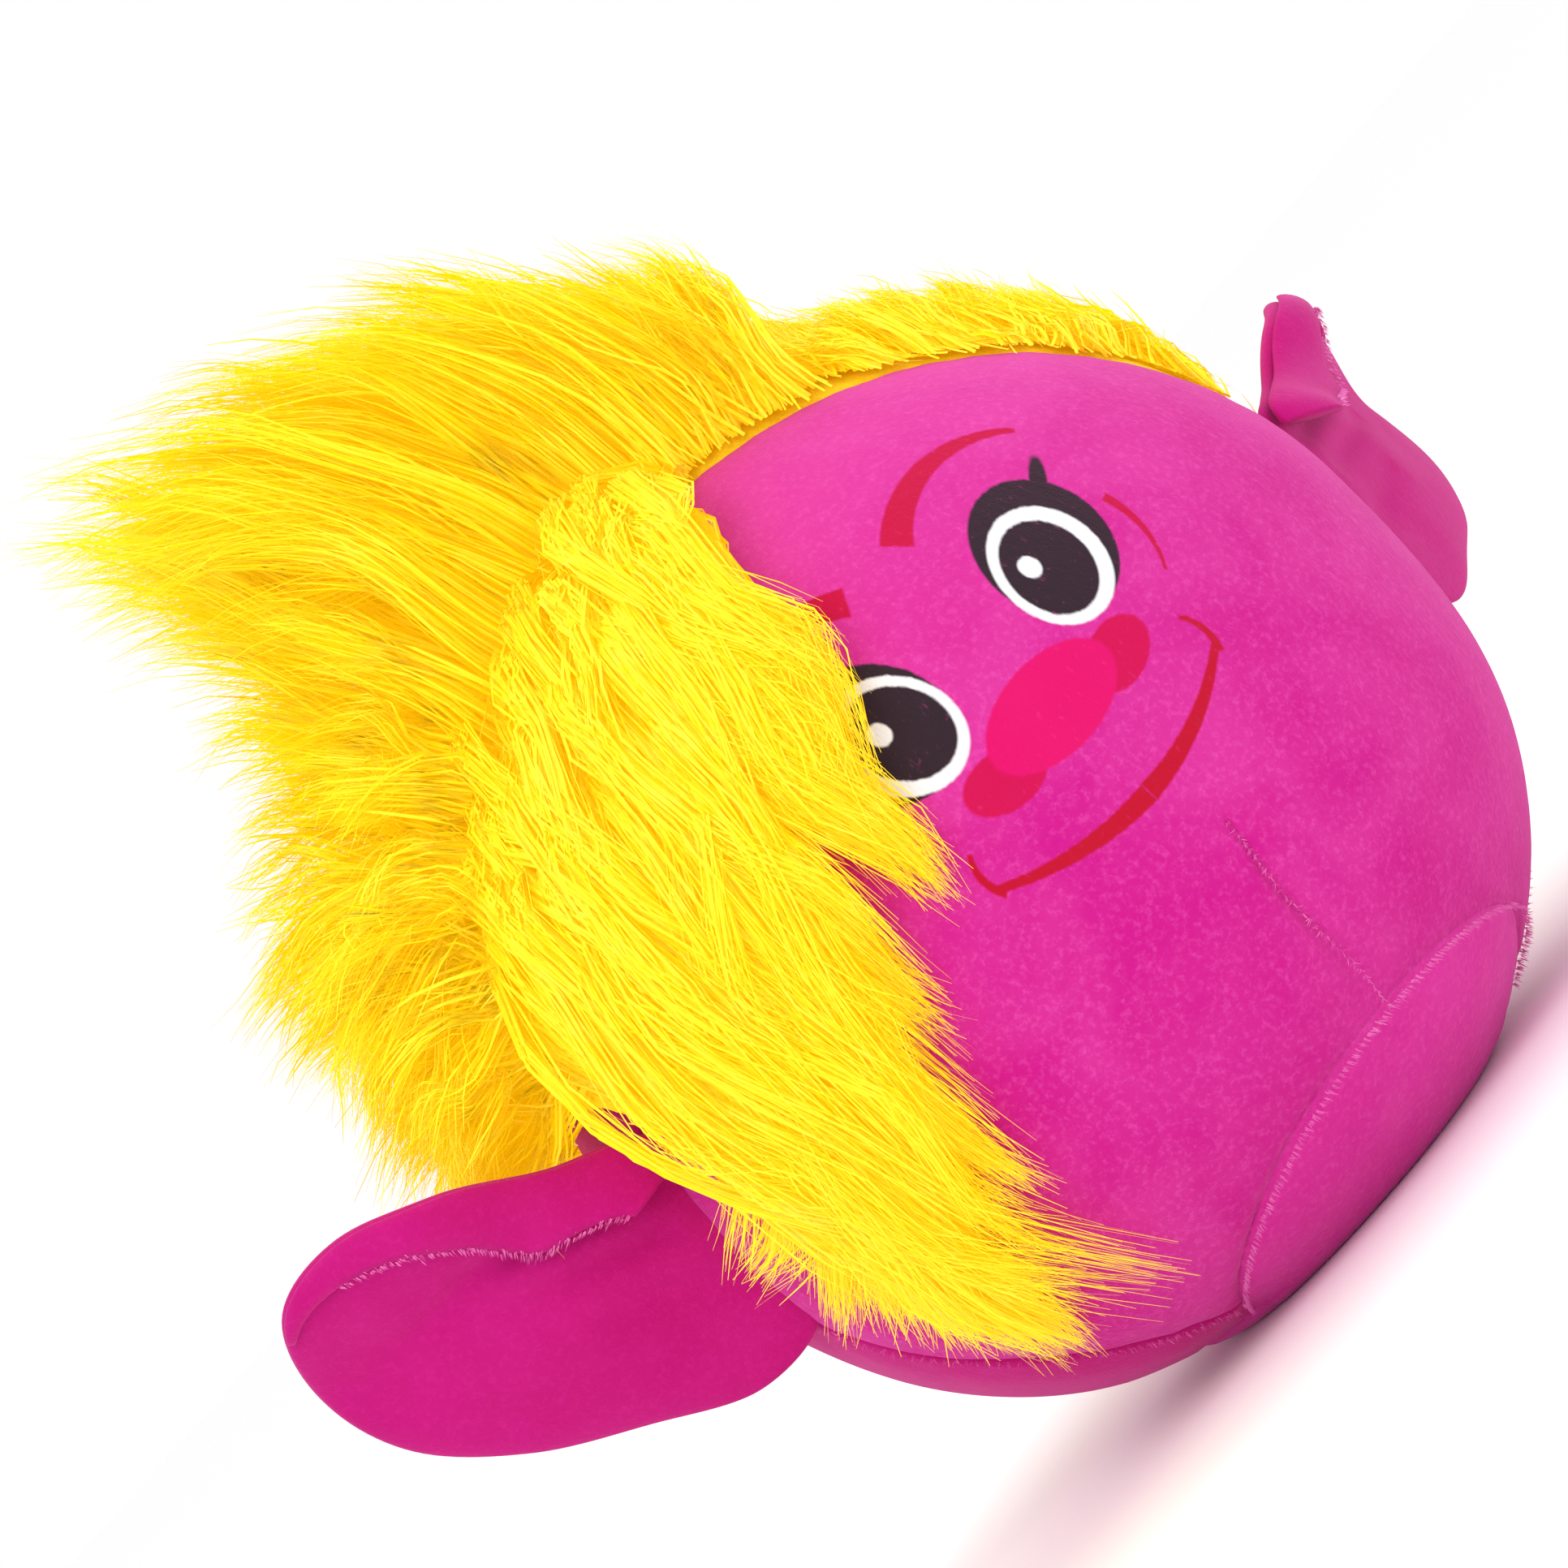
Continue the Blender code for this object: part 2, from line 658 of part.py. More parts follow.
def build_threads(collection, cotton):
    top, corner, chin = hairline_top(), ring_point(*CHIN_CORNER), ring_point(*CHIN_MIDDLE)
    foot, temple, nape = ring_point(*EAR_FOOT), ring_point(*TEMPLE), ring_point(*NAPE)
    thread("thread_dart", arc(ring_point(*DART_TOP), chin, SHORT_THREAD), collection, cotton)
    thread("thread_crown", arc(top, nape, LONG_THREAD), collection, cotton)
    thread("thread_back_centre", arc(nape, ring_point(*BACK_FOOT), MIDDLE_THREAD), collection, cotton)
    turns = evenly(BASE_THREAD_FROM, BASE_THREAD_TO, BASE_THREAD)
    low = BASE_SEAM_HEIGHT + THREAD_DEPTH
    base_line = [settled(ring_point(turn, low, THREAD_DEPTH)) for turn in turns]
    thread("thread_base", base_line, collection, cotton)
    for side, sign in SIDES.items():
        place = flipped if sign < 0 else Vector
        thread(f"thread_hairline_{side}", arc(place(foot), place(top), LONG_THREAD), collection, cotton)
        thread(f"thread_cheek_{side}", arc(place(corner), place(foot), MIDDLE_THREAD), collection, cotton)
        thread(f"thread_chin_{side}", chin_arc(sign), collection, cotton)
        thread(f"thread_scalp_{side}", arc(place(temple), place(nape), MIDDLE_THREAD), collection, cotton)


# ---------------------------------------------------------------- the whole head


def main():
    clear_scene()
    collection = new_collection("plush_head")
    print_velour = material("printed_velour", FACE_PINK, 0.85)
    base_velour = material("base_velour", BASE_PINK, 0.85)
    velour = material("magenta_velour", MAGENTA, 0.85)
    backing = material("fur_backing", BACKING_YELLOW, 0.9)
    fur = material("long_pile_fur", FUR_YELLOW, 0.7)
    cotton = material("sewing_thread", THREAD_PINK, 0.7)
    fibre = material("polyester_fibre", FIBRE_WHITE, 1.0)

    filling(collection, fibre)
    face_panel(collection, print_velour)
    base_panel(collection, base_velour)
    for side in SIDES:
        back_panel(side, collection, velour)
        scalp_panel(side, collection, backing)
        build_ear(side, collection, velour, fibre, cotton)
    build_threads(collection, cotton)
    crown_pile("hair_fringe_right", FRINGE_FROM, FRINGE_TO, collection, fur)
    crown_pile("hair_crest", FRINGE_TO, CREST_TO, collection, fur)
    crown_pile("hair_side_left", CREST_TO, SIDE_TO, collection, fur)
    back_pile(collection, fur)
    forelock(collection, fur)


main()
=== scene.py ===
"""Looks for the plush head: velour skin with sewn seams and a printed face, padded ears and long fur hair.

Metres, +Z up, the face looks towards -Y. Left is -X, as seen by someone who faces the head.
"""

import math

import json

import bmesh
import bpy
import numpy as np
from mathutils import Matrix, Vector, noise


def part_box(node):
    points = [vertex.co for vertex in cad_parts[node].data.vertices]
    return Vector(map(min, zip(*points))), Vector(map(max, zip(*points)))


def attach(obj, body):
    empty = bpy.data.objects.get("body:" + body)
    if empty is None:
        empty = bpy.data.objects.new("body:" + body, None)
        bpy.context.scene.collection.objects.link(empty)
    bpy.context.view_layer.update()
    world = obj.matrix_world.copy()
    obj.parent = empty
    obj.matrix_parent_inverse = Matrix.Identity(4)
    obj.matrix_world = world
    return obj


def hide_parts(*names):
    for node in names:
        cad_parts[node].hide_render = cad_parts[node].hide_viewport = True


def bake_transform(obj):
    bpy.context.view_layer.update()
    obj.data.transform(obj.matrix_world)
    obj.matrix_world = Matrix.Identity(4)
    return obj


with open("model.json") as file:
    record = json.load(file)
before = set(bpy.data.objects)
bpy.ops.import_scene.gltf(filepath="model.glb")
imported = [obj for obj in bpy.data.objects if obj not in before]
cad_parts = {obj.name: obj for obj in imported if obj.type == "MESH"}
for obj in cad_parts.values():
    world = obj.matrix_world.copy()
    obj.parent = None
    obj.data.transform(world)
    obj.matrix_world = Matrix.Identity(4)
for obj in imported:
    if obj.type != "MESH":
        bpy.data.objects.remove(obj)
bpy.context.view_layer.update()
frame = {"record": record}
MM = 0.001
SIDES = {"left": -1, "right": 1}
SEED = 11

# -------- head form, from the frame

SKIN_NODES = ("face_panel", "base_panel", "back_panel_left", "back_panel_right", "scalp_left", "scalp_right")
SKIN_LOW = np.min([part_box(node)[0] for node in SKIN_NODES], axis=0)
SKIN_HIGH = np.max([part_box(node)[1] for node in SKIN_NODES], axis=0)
HALF_WIDTH = (SKIN_HIGH[0] - SKIN_LOW[0]) / 2
HALF_DEPTH = (SKIN_HIGH[1] - SKIN_LOW[1]) / 2
UPPER_HEIGHT = SKIN_HIGH[2] / 2
LOWER_HEIGHT = UPPER_HEIGHT + 7 * MM
CENTRE = np.array((0.0, 0.0, UPPER_HEIGHT))
UPPER_FULLNESS, LOWER_FULLNESS = 2.0, 2.35
MEAN_RADIUS = (HALF_WIDTH + HALF_DEPTH) / 2
SEAM_REACH = 2 * MM


def unit(vectors):
    return vectors / np.maximum(np.linalg.norm(vectors, axis=-1, keepdims=True), 1e-12)


def smoothstep(low, high, value):
    share = np.clip((value - low) / (high - low), 0.0, 1.0)
    return share * share * (3 - 2 * share)


def between(start, leaving, end, arriving, share):
    """A smooth curve from start to end that leaves and arrives along given vectors."""
    cubed, squared = share**3, share**2
    return (
        start * (2 * cubed - 3 * squared + 1)
        + leaving * (cubed - 2 * squared + share)
        + end * (3 * squared - 2 * cubed)
        + arriving * (cubed - squared)
    )


def half_form(rise):
    """The height and the fullness of the half of the head above or below its centre."""
    upper = rise > 0
    return np.where(upper, UPPER_HEIGHT, LOWER_HEIGHT), np.where(upper, UPPER_FULLNESS, LOWER_FULLNESS)


def head_surface(headings):
    """Points of the smooth head in directions from its centre, cut off flat at the base."""
    headings = unit(headings)
    height, power = half_form(headings[..., 2])
    level = np.hypot(headings[..., 0] / HALF_WIDTH, headings[..., 1] / HALF_DEPTH)
    reach = (level**power + (np.abs(headings[..., 2]) / height) ** power) ** (-1 / power)
    points = CENTRE + headings * reach[..., None]
    points[..., 2] = np.maximum(points[..., 2], 0.0)
    return points


def head_normal(points):
    """Outward unit normals of the head at points on it."""
    offset = points - CENTRE
    height, power = half_form(offset[..., 2])
    level = np.hypot(offset[..., 0] / HALF_WIDTH, offset[..., 1] / HALF_DEPTH)
    flat = np.maximum(level, 1e-6) ** (power - 2)
    rise = np.sign(offset[..., 2]) * (np.abs(offset[..., 2]) / height) ** (power - 1) / height
    across, depth = offset[..., 0] / HALF_WIDTH**2, offset[..., 1] / HALF_DEPTH**2
    return unit(np.stack([flat * across, flat * depth, rise], -1))


def ring_point(azimuth, height):
    """Points of the head at degrees round from the middle of the face and heights above the base."""
    rise = height - CENTRE[2]
    half_height, power = half_form(rise)
    level = (1 - (np.abs(rise) / half_height) ** power) ** (1 / power)
    turn = np.radians(azimuth)
    return np.stack([HALF_WIDTH * level * np.sin(turn), -HALF_DEPTH * level * np.cos(turn), height], -1)


HAIRLINE_SETBACK = 43 * MM
HAIRLINE_TOP = np.array(
    (0.0, -HAIRLINE_SETBACK, CENTRE[2] + UPPER_HEIGHT * math.sqrt(1 - (HAIRLINE_SETBACK / HALF_DEPTH) ** 2))
)
EAR_FOOT = ring_point(85.0, 97 * MM)
TEMPLE = ring_point(72.0, 190 * MM)
CHIN_CORNER = ring_point(60.0, 9 * MM)
CHIN_MIDDLE = ring_point(0.0, 42 * MM)
DART_TOP = ring_point(4.0, 114 * MM)
NAPE = ring_point(180.0, 150 * MM)
BASE_SEAM_HEIGHT = 4 * MM
BACK_FOOT = ring_point(180.0, BASE_SEAM_HEIGHT)
BASE_TURN = 8.0
TURN_FROM, TURN_TO = 20 * MM, 95 * MM


def settled(points):
    """Where points of the mirror-even head lie once its stuffed base has turned."""
    turn = math.radians(BASE_TURN) * (1 - smoothstep(TURN_FROM, TURN_TO, points[..., 2]))
    across, depth = points[..., 0], points[..., 1]
    turned = (across * np.cos(turn) - depth * np.sin(turn), across * np.sin(turn) + depth * np.cos(turn))
    return np.stack([*turned, points[..., 2]], -1)


def seam_plane(start, end, towards):
    """The unit normal of the plane through the centre and two landmarks, on the side of a third point."""
    normal = unit(np.cross(start - CENTRE, end - CENTRE))
    return normal if normal @ (towards - CENTRE) > 0 else -normal


NOSE = ring_point(0.0, 160 * MM)
HAIRLINE = seam_plane(EAR_FOOT, HAIRLINE_TOP, NOSE)
CHEEK = seam_plane(EAR_FOOT, CHIN_CORNER, NOSE)
SCALP = seam_plane(TEMPLE, NAPE, HAIRLINE_TOP)
DART = seam_plane(DART_TOP, CHIN_MIDDLE, ring_point(90.0, 150 * MM))
CHIN_SLOPE = CHIN_CORNER - CHIN_MIDDLE
CHIN = unit(np.array((0.0, -CHIN_SLOPE[2], CHIN_SLOPE[1])))
SIDEWAYS = np.array((1.0, 0.0, 0.0))
UPWARDS = np.array((0.0, 0.0, 1.0))
BASE_SEAM = UPWARDS * BASE_SEAM_HEIGHT


def folded(points):
    """Points of the left half mirrored onto the right half, where the seam planes are."""
    return np.stack([np.abs(points[..., 0]), points[..., 1], points[..., 2]], -1)


def side_of(normal, points):
    """How far points are from a seam plane, or from its mirror image on the left half."""
    return (folded(points) - CENTRE) @ normal


def arc_distance(points, start, end):
    """How far points are, over the surface, from the seam between two landmarks."""
    headings, first, last = unit(folded(points) - CENTRE), unit(start - CENTRE), unit(end - CENTRE)
    normal = unit(np.cross(first, last))
    lift = headings @ normal
    within = (np.cross(first, headings) @ normal > 0) & (np.cross(headings, last) @ normal > 0)
    ends = np.maximum(headings @ first, headings @ last)
    angle = np.where(within, np.arcsin(np.abs(lift)), np.arccos(np.clip(ends, -1, 1)))
    return angle * MEAN_RADIUS


def above_chin(points):
    return (points - CHIN_MIDDLE) @ CHIN


def low_seam_distance(points):
    """How far points are from the arched chin seam and the low seam that runs on round the back."""
    chin = np.abs(above_chin(points)) * 1.1
    low = np.abs(points[..., 2] - BASE_SEAM_HEIGHT) * 1.1
    on_chin = points[..., 2] > BASE_SEAM_HEIGHT
    behind = above_chin(points) > -SEAM_REACH
    return np.minimum(np.where(on_chin, chin, 1.0), np.where(behind, low, 1.0))


def seam_distance(points):
    """How far points are from the nearest sewn seam of the skin."""
    seams = (
        (HAIRLINE_TOP, EAR_FOOT),
        (EAR_FOOT, CHIN_CORNER),
        (TEMPLE, NAPE),
        (HAIRLINE_TOP, NAPE),
        (NAPE, BACK_FOOT),
    )
    distances = [arc_distance(points, start, end) for start, end in seams]
    return np.min([*distances, low_seam_distance(points)], axis=0)


# -------- node helpers


def srgb(red, green, blue):
    """A colour in the renderer's linear numbers, from 0 to 255 as seen on a screen."""
    channels = np.array((red, green, blue)) / 255
    spread = np.where(channels <= 0.04045, channels / 12.92, ((channels + 0.055) / 1.055) ** 2.4)
    return (*spread.tolist(), 1.0)


class Field:
    """A number that varies over a surface: one output of a node tree, with ordinary arithmetic."""

    def __init__(self, tree, socket):
        self.tree = tree
        self.socket = socket

    def math(self, operation, *others):
        node = self.tree.nodes.new("ShaderNodeMath")
        node.operation = operation
        for place, value in zip(node.inputs, (self, *others)):
            plug(self.tree, value, place)
        return Field(self.tree, node.outputs[0])

    def __add__(self, other):
        return self.math("ADD", other)

    def __sub__(self, other):
        return self.math("SUBTRACT", other)

    def __mul__(self, other):
        return self.math("MULTIPLY", other)

    def __truediv__(self, other):
        return self.math("DIVIDE", other)

    def __abs__(self):
        return self.math("ABSOLUTE")

    def between(self, low, high):
        """0 at low and below, 1 at high and above, smooth between."""
        node = self.tree.nodes.new("ShaderNodeMapRange")
        node.interpolation_type = "SMOOTHSTEP"
        fill_in(node, {"From Min": low, "From Max": high})
        plug(self.tree, self, node.inputs["Value"])
        return Field(self.tree, node.outputs["Result"])


def plug(tree, value, place):
    if isinstance(value, Field):
        tree.links.new(value.socket, place)
    elif isinstance(value, bpy.types.NodeSocket):
        tree.links.new(value, place)
    else:
        place.default_value = value


def fill_in(node, values):
    """Sets a node's own inputs, by their names."""
    for name, value in values.items():
        node.inputs[name].default_value = value


def length(across, along):
    return (across * across + along * along).math("SQRT")


def coordinates(tree):
    """The point on the piece, as a vector socket and three fields in millimetres."""
    place = tree.nodes.new("ShaderNodeTexCoord").outputs["Object"]
    split = tree.nodes.new("ShaderNodeSeparateXYZ")
    tree.links.new(place, split.inputs[0])
    return place, *(Field(tree, split.outputs[axis]) * 1000.0 for axis in "XYZ")


def noise_field(tree, place, scale, detail=2.0, roughness=0.5, stretch=None, distortion=0.0):
    """Smooth noise with features about 1 / scale metres across, drawn out along stretched axes."""
    if stretch is not None:
        mapping = tree.nodes.new("ShaderNodeMapping")
        fill_in(mapping, {"Scale": stretch[0], "Rotation": stretch[1]})
        tree.links.new(place, mapping.inputs["Vector"])
        place = mapping.outputs["Vector"]
    texture = tree.nodes.new("ShaderNodeTexNoise")
    fill_in(texture, {"Scale": scale, "Detail": detail, "Roughness": roughness, "Distortion": distortion})
    tree.links.new(place, texture.inputs["Vector"])
    return Field(tree, texture.outputs["Fac"])


def blend_colours(tree, share, first, second):
    """first where share is 0, second where it is 1. Each is a colour or a colour socket."""
    node = tree.nodes.new("ShaderNodeMix")
    node.data_type = "RGBA"
    plug(tree, share, node.inputs["Factor"])
    plug(tree, first, node.inputs[6])
    plug(tree, second, node.inputs[7])
    return node.outputs[2]


def new_material(name):
    made = bpy.data.materials.new(name)
    made.use_nodes = True
    tree = made.node_tree
    return made, tree, tree.nodes["Principled BSDF"]


def add_bump(tree, surface, height, strength, distance):
    bump = tree.nodes.new("ShaderNodeBump")
    fill_in(bump, {"Strength": strength, "Distance": distance})
    plug(tree, height, bump.inputs["Height"])
    tree.links.new(bump.outputs["Normal"], surface.inputs["Normal"])


# -------- velour

VELOUR_PINK = (194, 10, 130)
# The face's paler pink serves the pile's pale tips and spots in the grain, and also a painted sheen towards
# the top of the face.
VELOUR_FACE_PALE_AND_SHEEN = (228, 84, 176)
# Painted light and shade: the base's colours are the same velour lit brighter, and the back's colours, which
# the ears share, are that velour in shade.
BASE_PAINTED_LIGHT_COLOURS = ((208, 34, 146), (234, 88, 180))
BACK_PAINTED_SHADE_COLOURS = ((182, 2, 110), (204, 26, 138))
NAP_COLOURS = ((226, 96, 182), (248, 176, 220))
BACKING_COLOURS = ((246, 206, 0), (255, 226, 14))
SHEEN_PINK = (255, 150, 215)
PLAIN_GRAIN, PRINTED_GRAIN = 0.5, 0.8
PRINT_CRIMSON = (188, 2, 60)
PRINT_NOSE = (212, 3, 100)
PRINT_NOSTRIL = (196, 2, 76)
PRINT_MOUTH = (182, 2, 40)
PRINT_BLACK = (44, 30, 38)
PRINT_WHITE = (236, 236, 238)


def velour_colour(tree, place, deep, light):
    """Short pile lying different ways: broad soft patches, and a fine speckle of paler tips."""
    patches = noise_field(tree, place, 22.0, 3.0, 0.6, distortion=0.6).between(0.3, 0.75)
    speckle = noise_field(tree, place, 480.0, 3.0, 0.7).between(0.45, 0.75)
    share = patches * 0.26 + speckle * 0.34
    return blend_colours(tree, share, srgb(*deep), srgb(*light))


def velour_surface(tree, surface, place, colour, grain):
    plug(tree, colour, surface.inputs["Base Color"])
    fill_in(surface, {"Specular IOR Level": 0.18, "Sheen Weight": 0.35, "Sheen Roughness": 0.42})
    fill_in(surface, {"Sheen Tint": srgb(*SHEEN_PINK)})
    wear = noise_field(tree, place, 60.0, 3.0)
    plug(tree, wear * 0.22 + 0.72, surface.inputs["Roughness"])
    pile = noise_field(tree, place, 1500.0, 2.0, 0.7)
    ribs = noise_field(tree, place, 520.0, 2.0, 0.6, stretch=((1.0, 1.0, 0.35), (0.0, math.radians(24), 0.0)))
    add_bump(tree, surface, pile * 0.6 + ribs * grain, 0.7, 0.6 * MM)


def velour(name, deep, light):
    made, tree, surface = new_material(name)
    place, *_ = coordinates(tree)
    velour_surface(tree, surface, place, velour_colour(tree, place, deep, light), PLAIN_GRAIN)
    return made


# -------- printed face, in millimetres on the face

EYE_SPREAD = 34.0
EYE_HEIGHT = 199.0
BROW_RADIUS = 42.0
NOSE_HEIGHT = 170.0
SMILE_RADIUS = 96.0
SMILE_LOW = 136.0
PRINT_EDGE = 0.5


def oval(across, up, middle, half_size, tilt=0.0):
    """Roughly how far a point is outside an oval, in millimetres, and less than 0 inside it."""
    turn = math.radians(tilt)
    right, high = across - middle[0], up - middle[1]
    along = right * math.cos(turn) + high * math.sin(turn)
    over = high * math.cos(turn) - right * math.sin(turn)
    return (length(along / half_size[0], over / half_size[1]) - 1.0) * min(half_size)


def stroke(across, up, middle, radius, angles, widths):
    """Distance outside a brush stroke along an arc between two angles, with a half-width at each end."""
    right, high = across - middle[0], up - middle[1]
    angle = high.math("ARCTAN2", right) * math.degrees(1.0)
    first, last = angles
    share = ((angle - first) / (last - first)).math("MAXIMUM", 0.0).math("MINIMUM", 1.0)
    half_width = share * (widths[1] - widths[0]) + widths[0]
    off_line = abs(length(right, high) - radius)
    beyond = ((angle - (first + last) / 2).math("ABSOLUTE") - abs(last - first) / 2) * math.radians(radius)
    return (off_line - half_width).math("MAXIMUM", beyond)


def inside(distance):
    """1 where the distance is less than 0, with a narrow soft edge as ink has on cloth."""
    return (distance * -1.0).between(-PRINT_EDGE, PRINT_EDGE)


def face_print(tree, across, up, colour):
    """Lays the printed features over the cloth's colour. The right side is mirrored onto the left."""
    fold = abs(across)
    brow_centre = (EYE_SPREAD + 3, EYE_HEIGHT + 1)
    brow = stroke(fold, up, brow_centre, BROW_RADIUS, (128.0, 46.0), (4.6, 0.9))
    crease = stroke(fold, up, (EYE_SPREAD, EYE_HEIGHT - 6), 30.0, (12.0, -42.0), (1.5, 0.5))
    lid = oval(fold, up, (EYE_SPREAD + 3.5, EYE_HEIGHT + 3.5), (20.5, 23.0), -18)
    lash = oval(fold, up, (EYE_SPREAD + 21, EYE_HEIGHT + 17), (8.5, 2.6), 38)
    white = oval(fold, up, (EYE_SPREAD, EYE_HEIGHT - 1), (17.0, 19.5), -14)
    pupil = oval(fold, up, (EYE_SPREAD - 1, EYE_HEIGHT - 1), (13.2, 15.6), -14)
    spark = oval(across, up, (-EYE_SPREAD - 3, EYE_HEIGHT + 3), (3.2, 3.6))
    other_spark = oval(across, up, (EYE_SPREAD - 5, EYE_HEIGHT + 3), (3.2, 3.6))
    bridge = oval(across, up, (0, NOSE_HEIGHT + 2), (24, 13.5))
    nostril = oval(fold, up, (25, NOSE_HEIGHT - 2), (13, 8.5), 12)
    smile = stroke(fold, up, (0, SMILE_LOW + SMILE_RADIUS), SMILE_RADIUS, (-90.0, -59.0), (3.2, 1.2))
    dimple = stroke(fold, up, (SMILE_RADIUS * 0.515 - 13, 153.5), 13.0, (-32.0, 38.0), (1.5, 0.7))
    layers = (
        (brow, PRINT_CRIMSON),
        (crease, PRINT_CRIMSON),
        (nostril, PRINT_NOSTRIL),
        (bridge, PRINT_NOSE),
        (smile.math("MINIMUM", dimple), PRINT_MOUTH),
        (lid.math("MINIMUM", lash), PRINT_BLACK),
        (white, PRINT_WHITE),
        (pupil, PRINT_BLACK),
        (spark.math("MINIMUM", other_spark), PRINT_WHITE),
    )
    for shape, ink in layers:
        colour = blend_colours(tree, inside(shape), colour, srgb(*ink))
    return colour


def printed_velour(name):
    made, tree, surface = new_material(name)
    place, across, _, up = coordinates(tree)
    cloth = velour_colour(tree, place, VELOUR_PINK, VELOUR_FACE_PALE_AND_SHEEN)
    # Painted sheen: the cloth turns paler towards the top of the face, along a wobbly edge.
    rim = noise_field(tree, place, 9.0, 2.0) * 18.0
    painted_top_sheen = (up + rim).between(150.0, 300.0) * 0.32
    cloth = blend_colours(tree, painted_top_sheen, cloth, srgb(*VELOUR_FACE_PALE_AND_SHEEN))
    grain = noise_field(tree, place, 560.0, 2.0, 0.6, stretch=((1.0, 1.0, 0.4), (0.0, math.radians(24), 0.0)))
    printed = face_print(tree, across + (grain - 0.5) * 0.8, up + (grain - 0.5) * 0.8, cloth)
    # Some spots of the knit grain are paler, towards the face's pale pink.
    pale_grain_spots = blend_colours(tree, grain.between(0.62, 0.8) * 0.16, printed, srgb(*VELOUR_FACE_PALE_AND_SHEEN))
    velour_surface(tree, surface, place, pale_grain_spots, PRINTED_GRAIN)
    return made


# -------- skin panels

BALL_SUBDIVISIONS = 7
SEAM_DEPTH, SEAM_WIDTH = 1.9 * MM, 1.15 * MM
PILLOW_DEPTH, PILLOW_WIDTH = 1.1 * MM, 9 * MM
PUCKER_DEPTH, PUCKER_REACH, PUCKER_SCALE = 0.8 * MM, 9 * MM, 120.0
LUMP_DEPTH, LUMP_SCALE = 1.8 * MM, 14.0
DART_DEPTH, DART_PILLOW, DART_STEP = 2.0 * MM, 1.0 * MM, 0.7 * MM
DEEPEST = 3.9 * MM
CLOTH_THICKNESS = 1.3 * MM
VALLEY_CUTS = (0.0, 0.5 * MM, 1.1 * MM, 2.0 * MM, 3.6 * MM)
DART_CUTS = (-2.0 * MM, -1.1 * MM, -0.5 * MM, 0.0, 0.5 * MM, 1.1 * MM, 2.0 * MM)


def verts_of(bm):
    return np.array([vert.co for vert in bm.verts])


def place_verts(bm, points):
    for vert, point in zip(bm.verts, points):
        vert.co = point


def head_ball():
    bm = bmesh.new()
    bmesh.ops.create_icosphere(bm, subdivisions=BALL_SUBDIVISIONS, radius=1.0)
    place_verts(bm, head_surface(verts_of(bm)))
    return bm


def keep_faces(bm, test):
    centres = np.array([face.calc_center_median() for face in bm.faces])
    kept = test(centres)
    gone = [face for face, stays in zip(bm.faces, kept) if not stays]
    bmesh.ops.delete(bm, geom=gone, context="FACES")


def slice_along(bm, normal, shift=0.0, through=CENTRE, within=None):
    """Adds an edge line where a plane crosses the mesh, or only its faces whose centres pass the test."""
    faces = bm.faces[:]
    if within is not None:
        centres = np.array([face.calc_center_median() for face in faces])
        faces = [face for face, near in zip(faces, within(centres)) if near]
    edges = {edge for face in faces for edge in face.edges}
    verts = {vert for face in faces for vert in face.verts}
    where = Vector(through) + Vector(normal) * shift
    geometry = [*faces, *edges, *verts]
    bmesh.ops.bisect_plane(bm, geom=geometry, dist=1e-7, plane_co=where, plane_no=Vector(normal))


def cut_panel(ball, test, mirrored=(), straight=()):
    """A panel of the head: the faces that pass the test, with edge lines beside its seams for their valleys.

    Each seam is a normal that points into the panel and a point of its plane."""
    bm = ball.copy()
    keep_faces(bm, lambda spots: test(spots, -9 * MM))
    slice_along(bm, SIDEWAYS)
    for normal in mirrored:
        for cut in VALLEY_CUTS:
            for mirror in (1, -1):
                flat = np.array(normal) * (mirror, 1, 1)
                slice_along(bm, flat, cut, within=lambda spots: spots[:, 0] * mirror > 0)
    for normal, through in straight:
        for cut in VALLEY_CUTS:
            slice_along(bm, np.array(normal), cut, through=through)
    keep_faces(bm, lambda spots: test(spots, 0.0))
    return bm


def near_dart(spots):
    level = (spots[:, 2] < DART_TOP[2] + 3 * MM) & (spots[:, 2] > CHIN_MIDDLE[2] - 9 * MM)
    return level & (spots[:, 1] < 0) & (np.abs(spots[:, 0]) < 18 * MM)


def slice_dart(bm):
    for shift in DART_CUTS:
        slice_along(bm, DART, shift, within=near_dart)


def is_front(spots, margin):
    return (side_of(HAIRLINE, spots) > margin) & (side_of(CHEEK, spots) > margin)


def is_face(spots, margin):
    return is_front(spots, margin) & (above_chin(spots) > margin)


def is_base(spots, margin):
    return (above_chin(spots) < -margin) | (spots[:, 2] < BASE_SEAM_HEIGHT - margin)


def is_back(spots, margin):
    above = (above_chin(spots) > margin) & (spots[:, 2] > BASE_SEAM_HEIGHT + margin)
    return above & ~is_front(spots, -margin) & (side_of(SCALP, spots) < -margin)


def is_scalp(spots, margin):
    return (side_of(HAIRLINE, spots) < -margin) & (side_of(SCALP, spots) > margin)


def noise_at(points, scale, seed=0.0):
    shift = Vector((seed, seed * 0.7, seed * 1.3))
    return np.array([noise.noise(Vector(point) * scale + shift) for point in points])


def dart_distance(points):
    """How far points are from the chin dart, which fades out at its top."""
    across = (points - CENTRE) @ DART
    above = np.maximum(points[..., 2] - DART_TOP[2], 0.0)
    below = np.maximum(-above_chin(points), 0.0)
    return np.where(points[..., 1] < 0, np.sqrt(across**2 + (above * 1.5) ** 2 + below**2), 1.0)


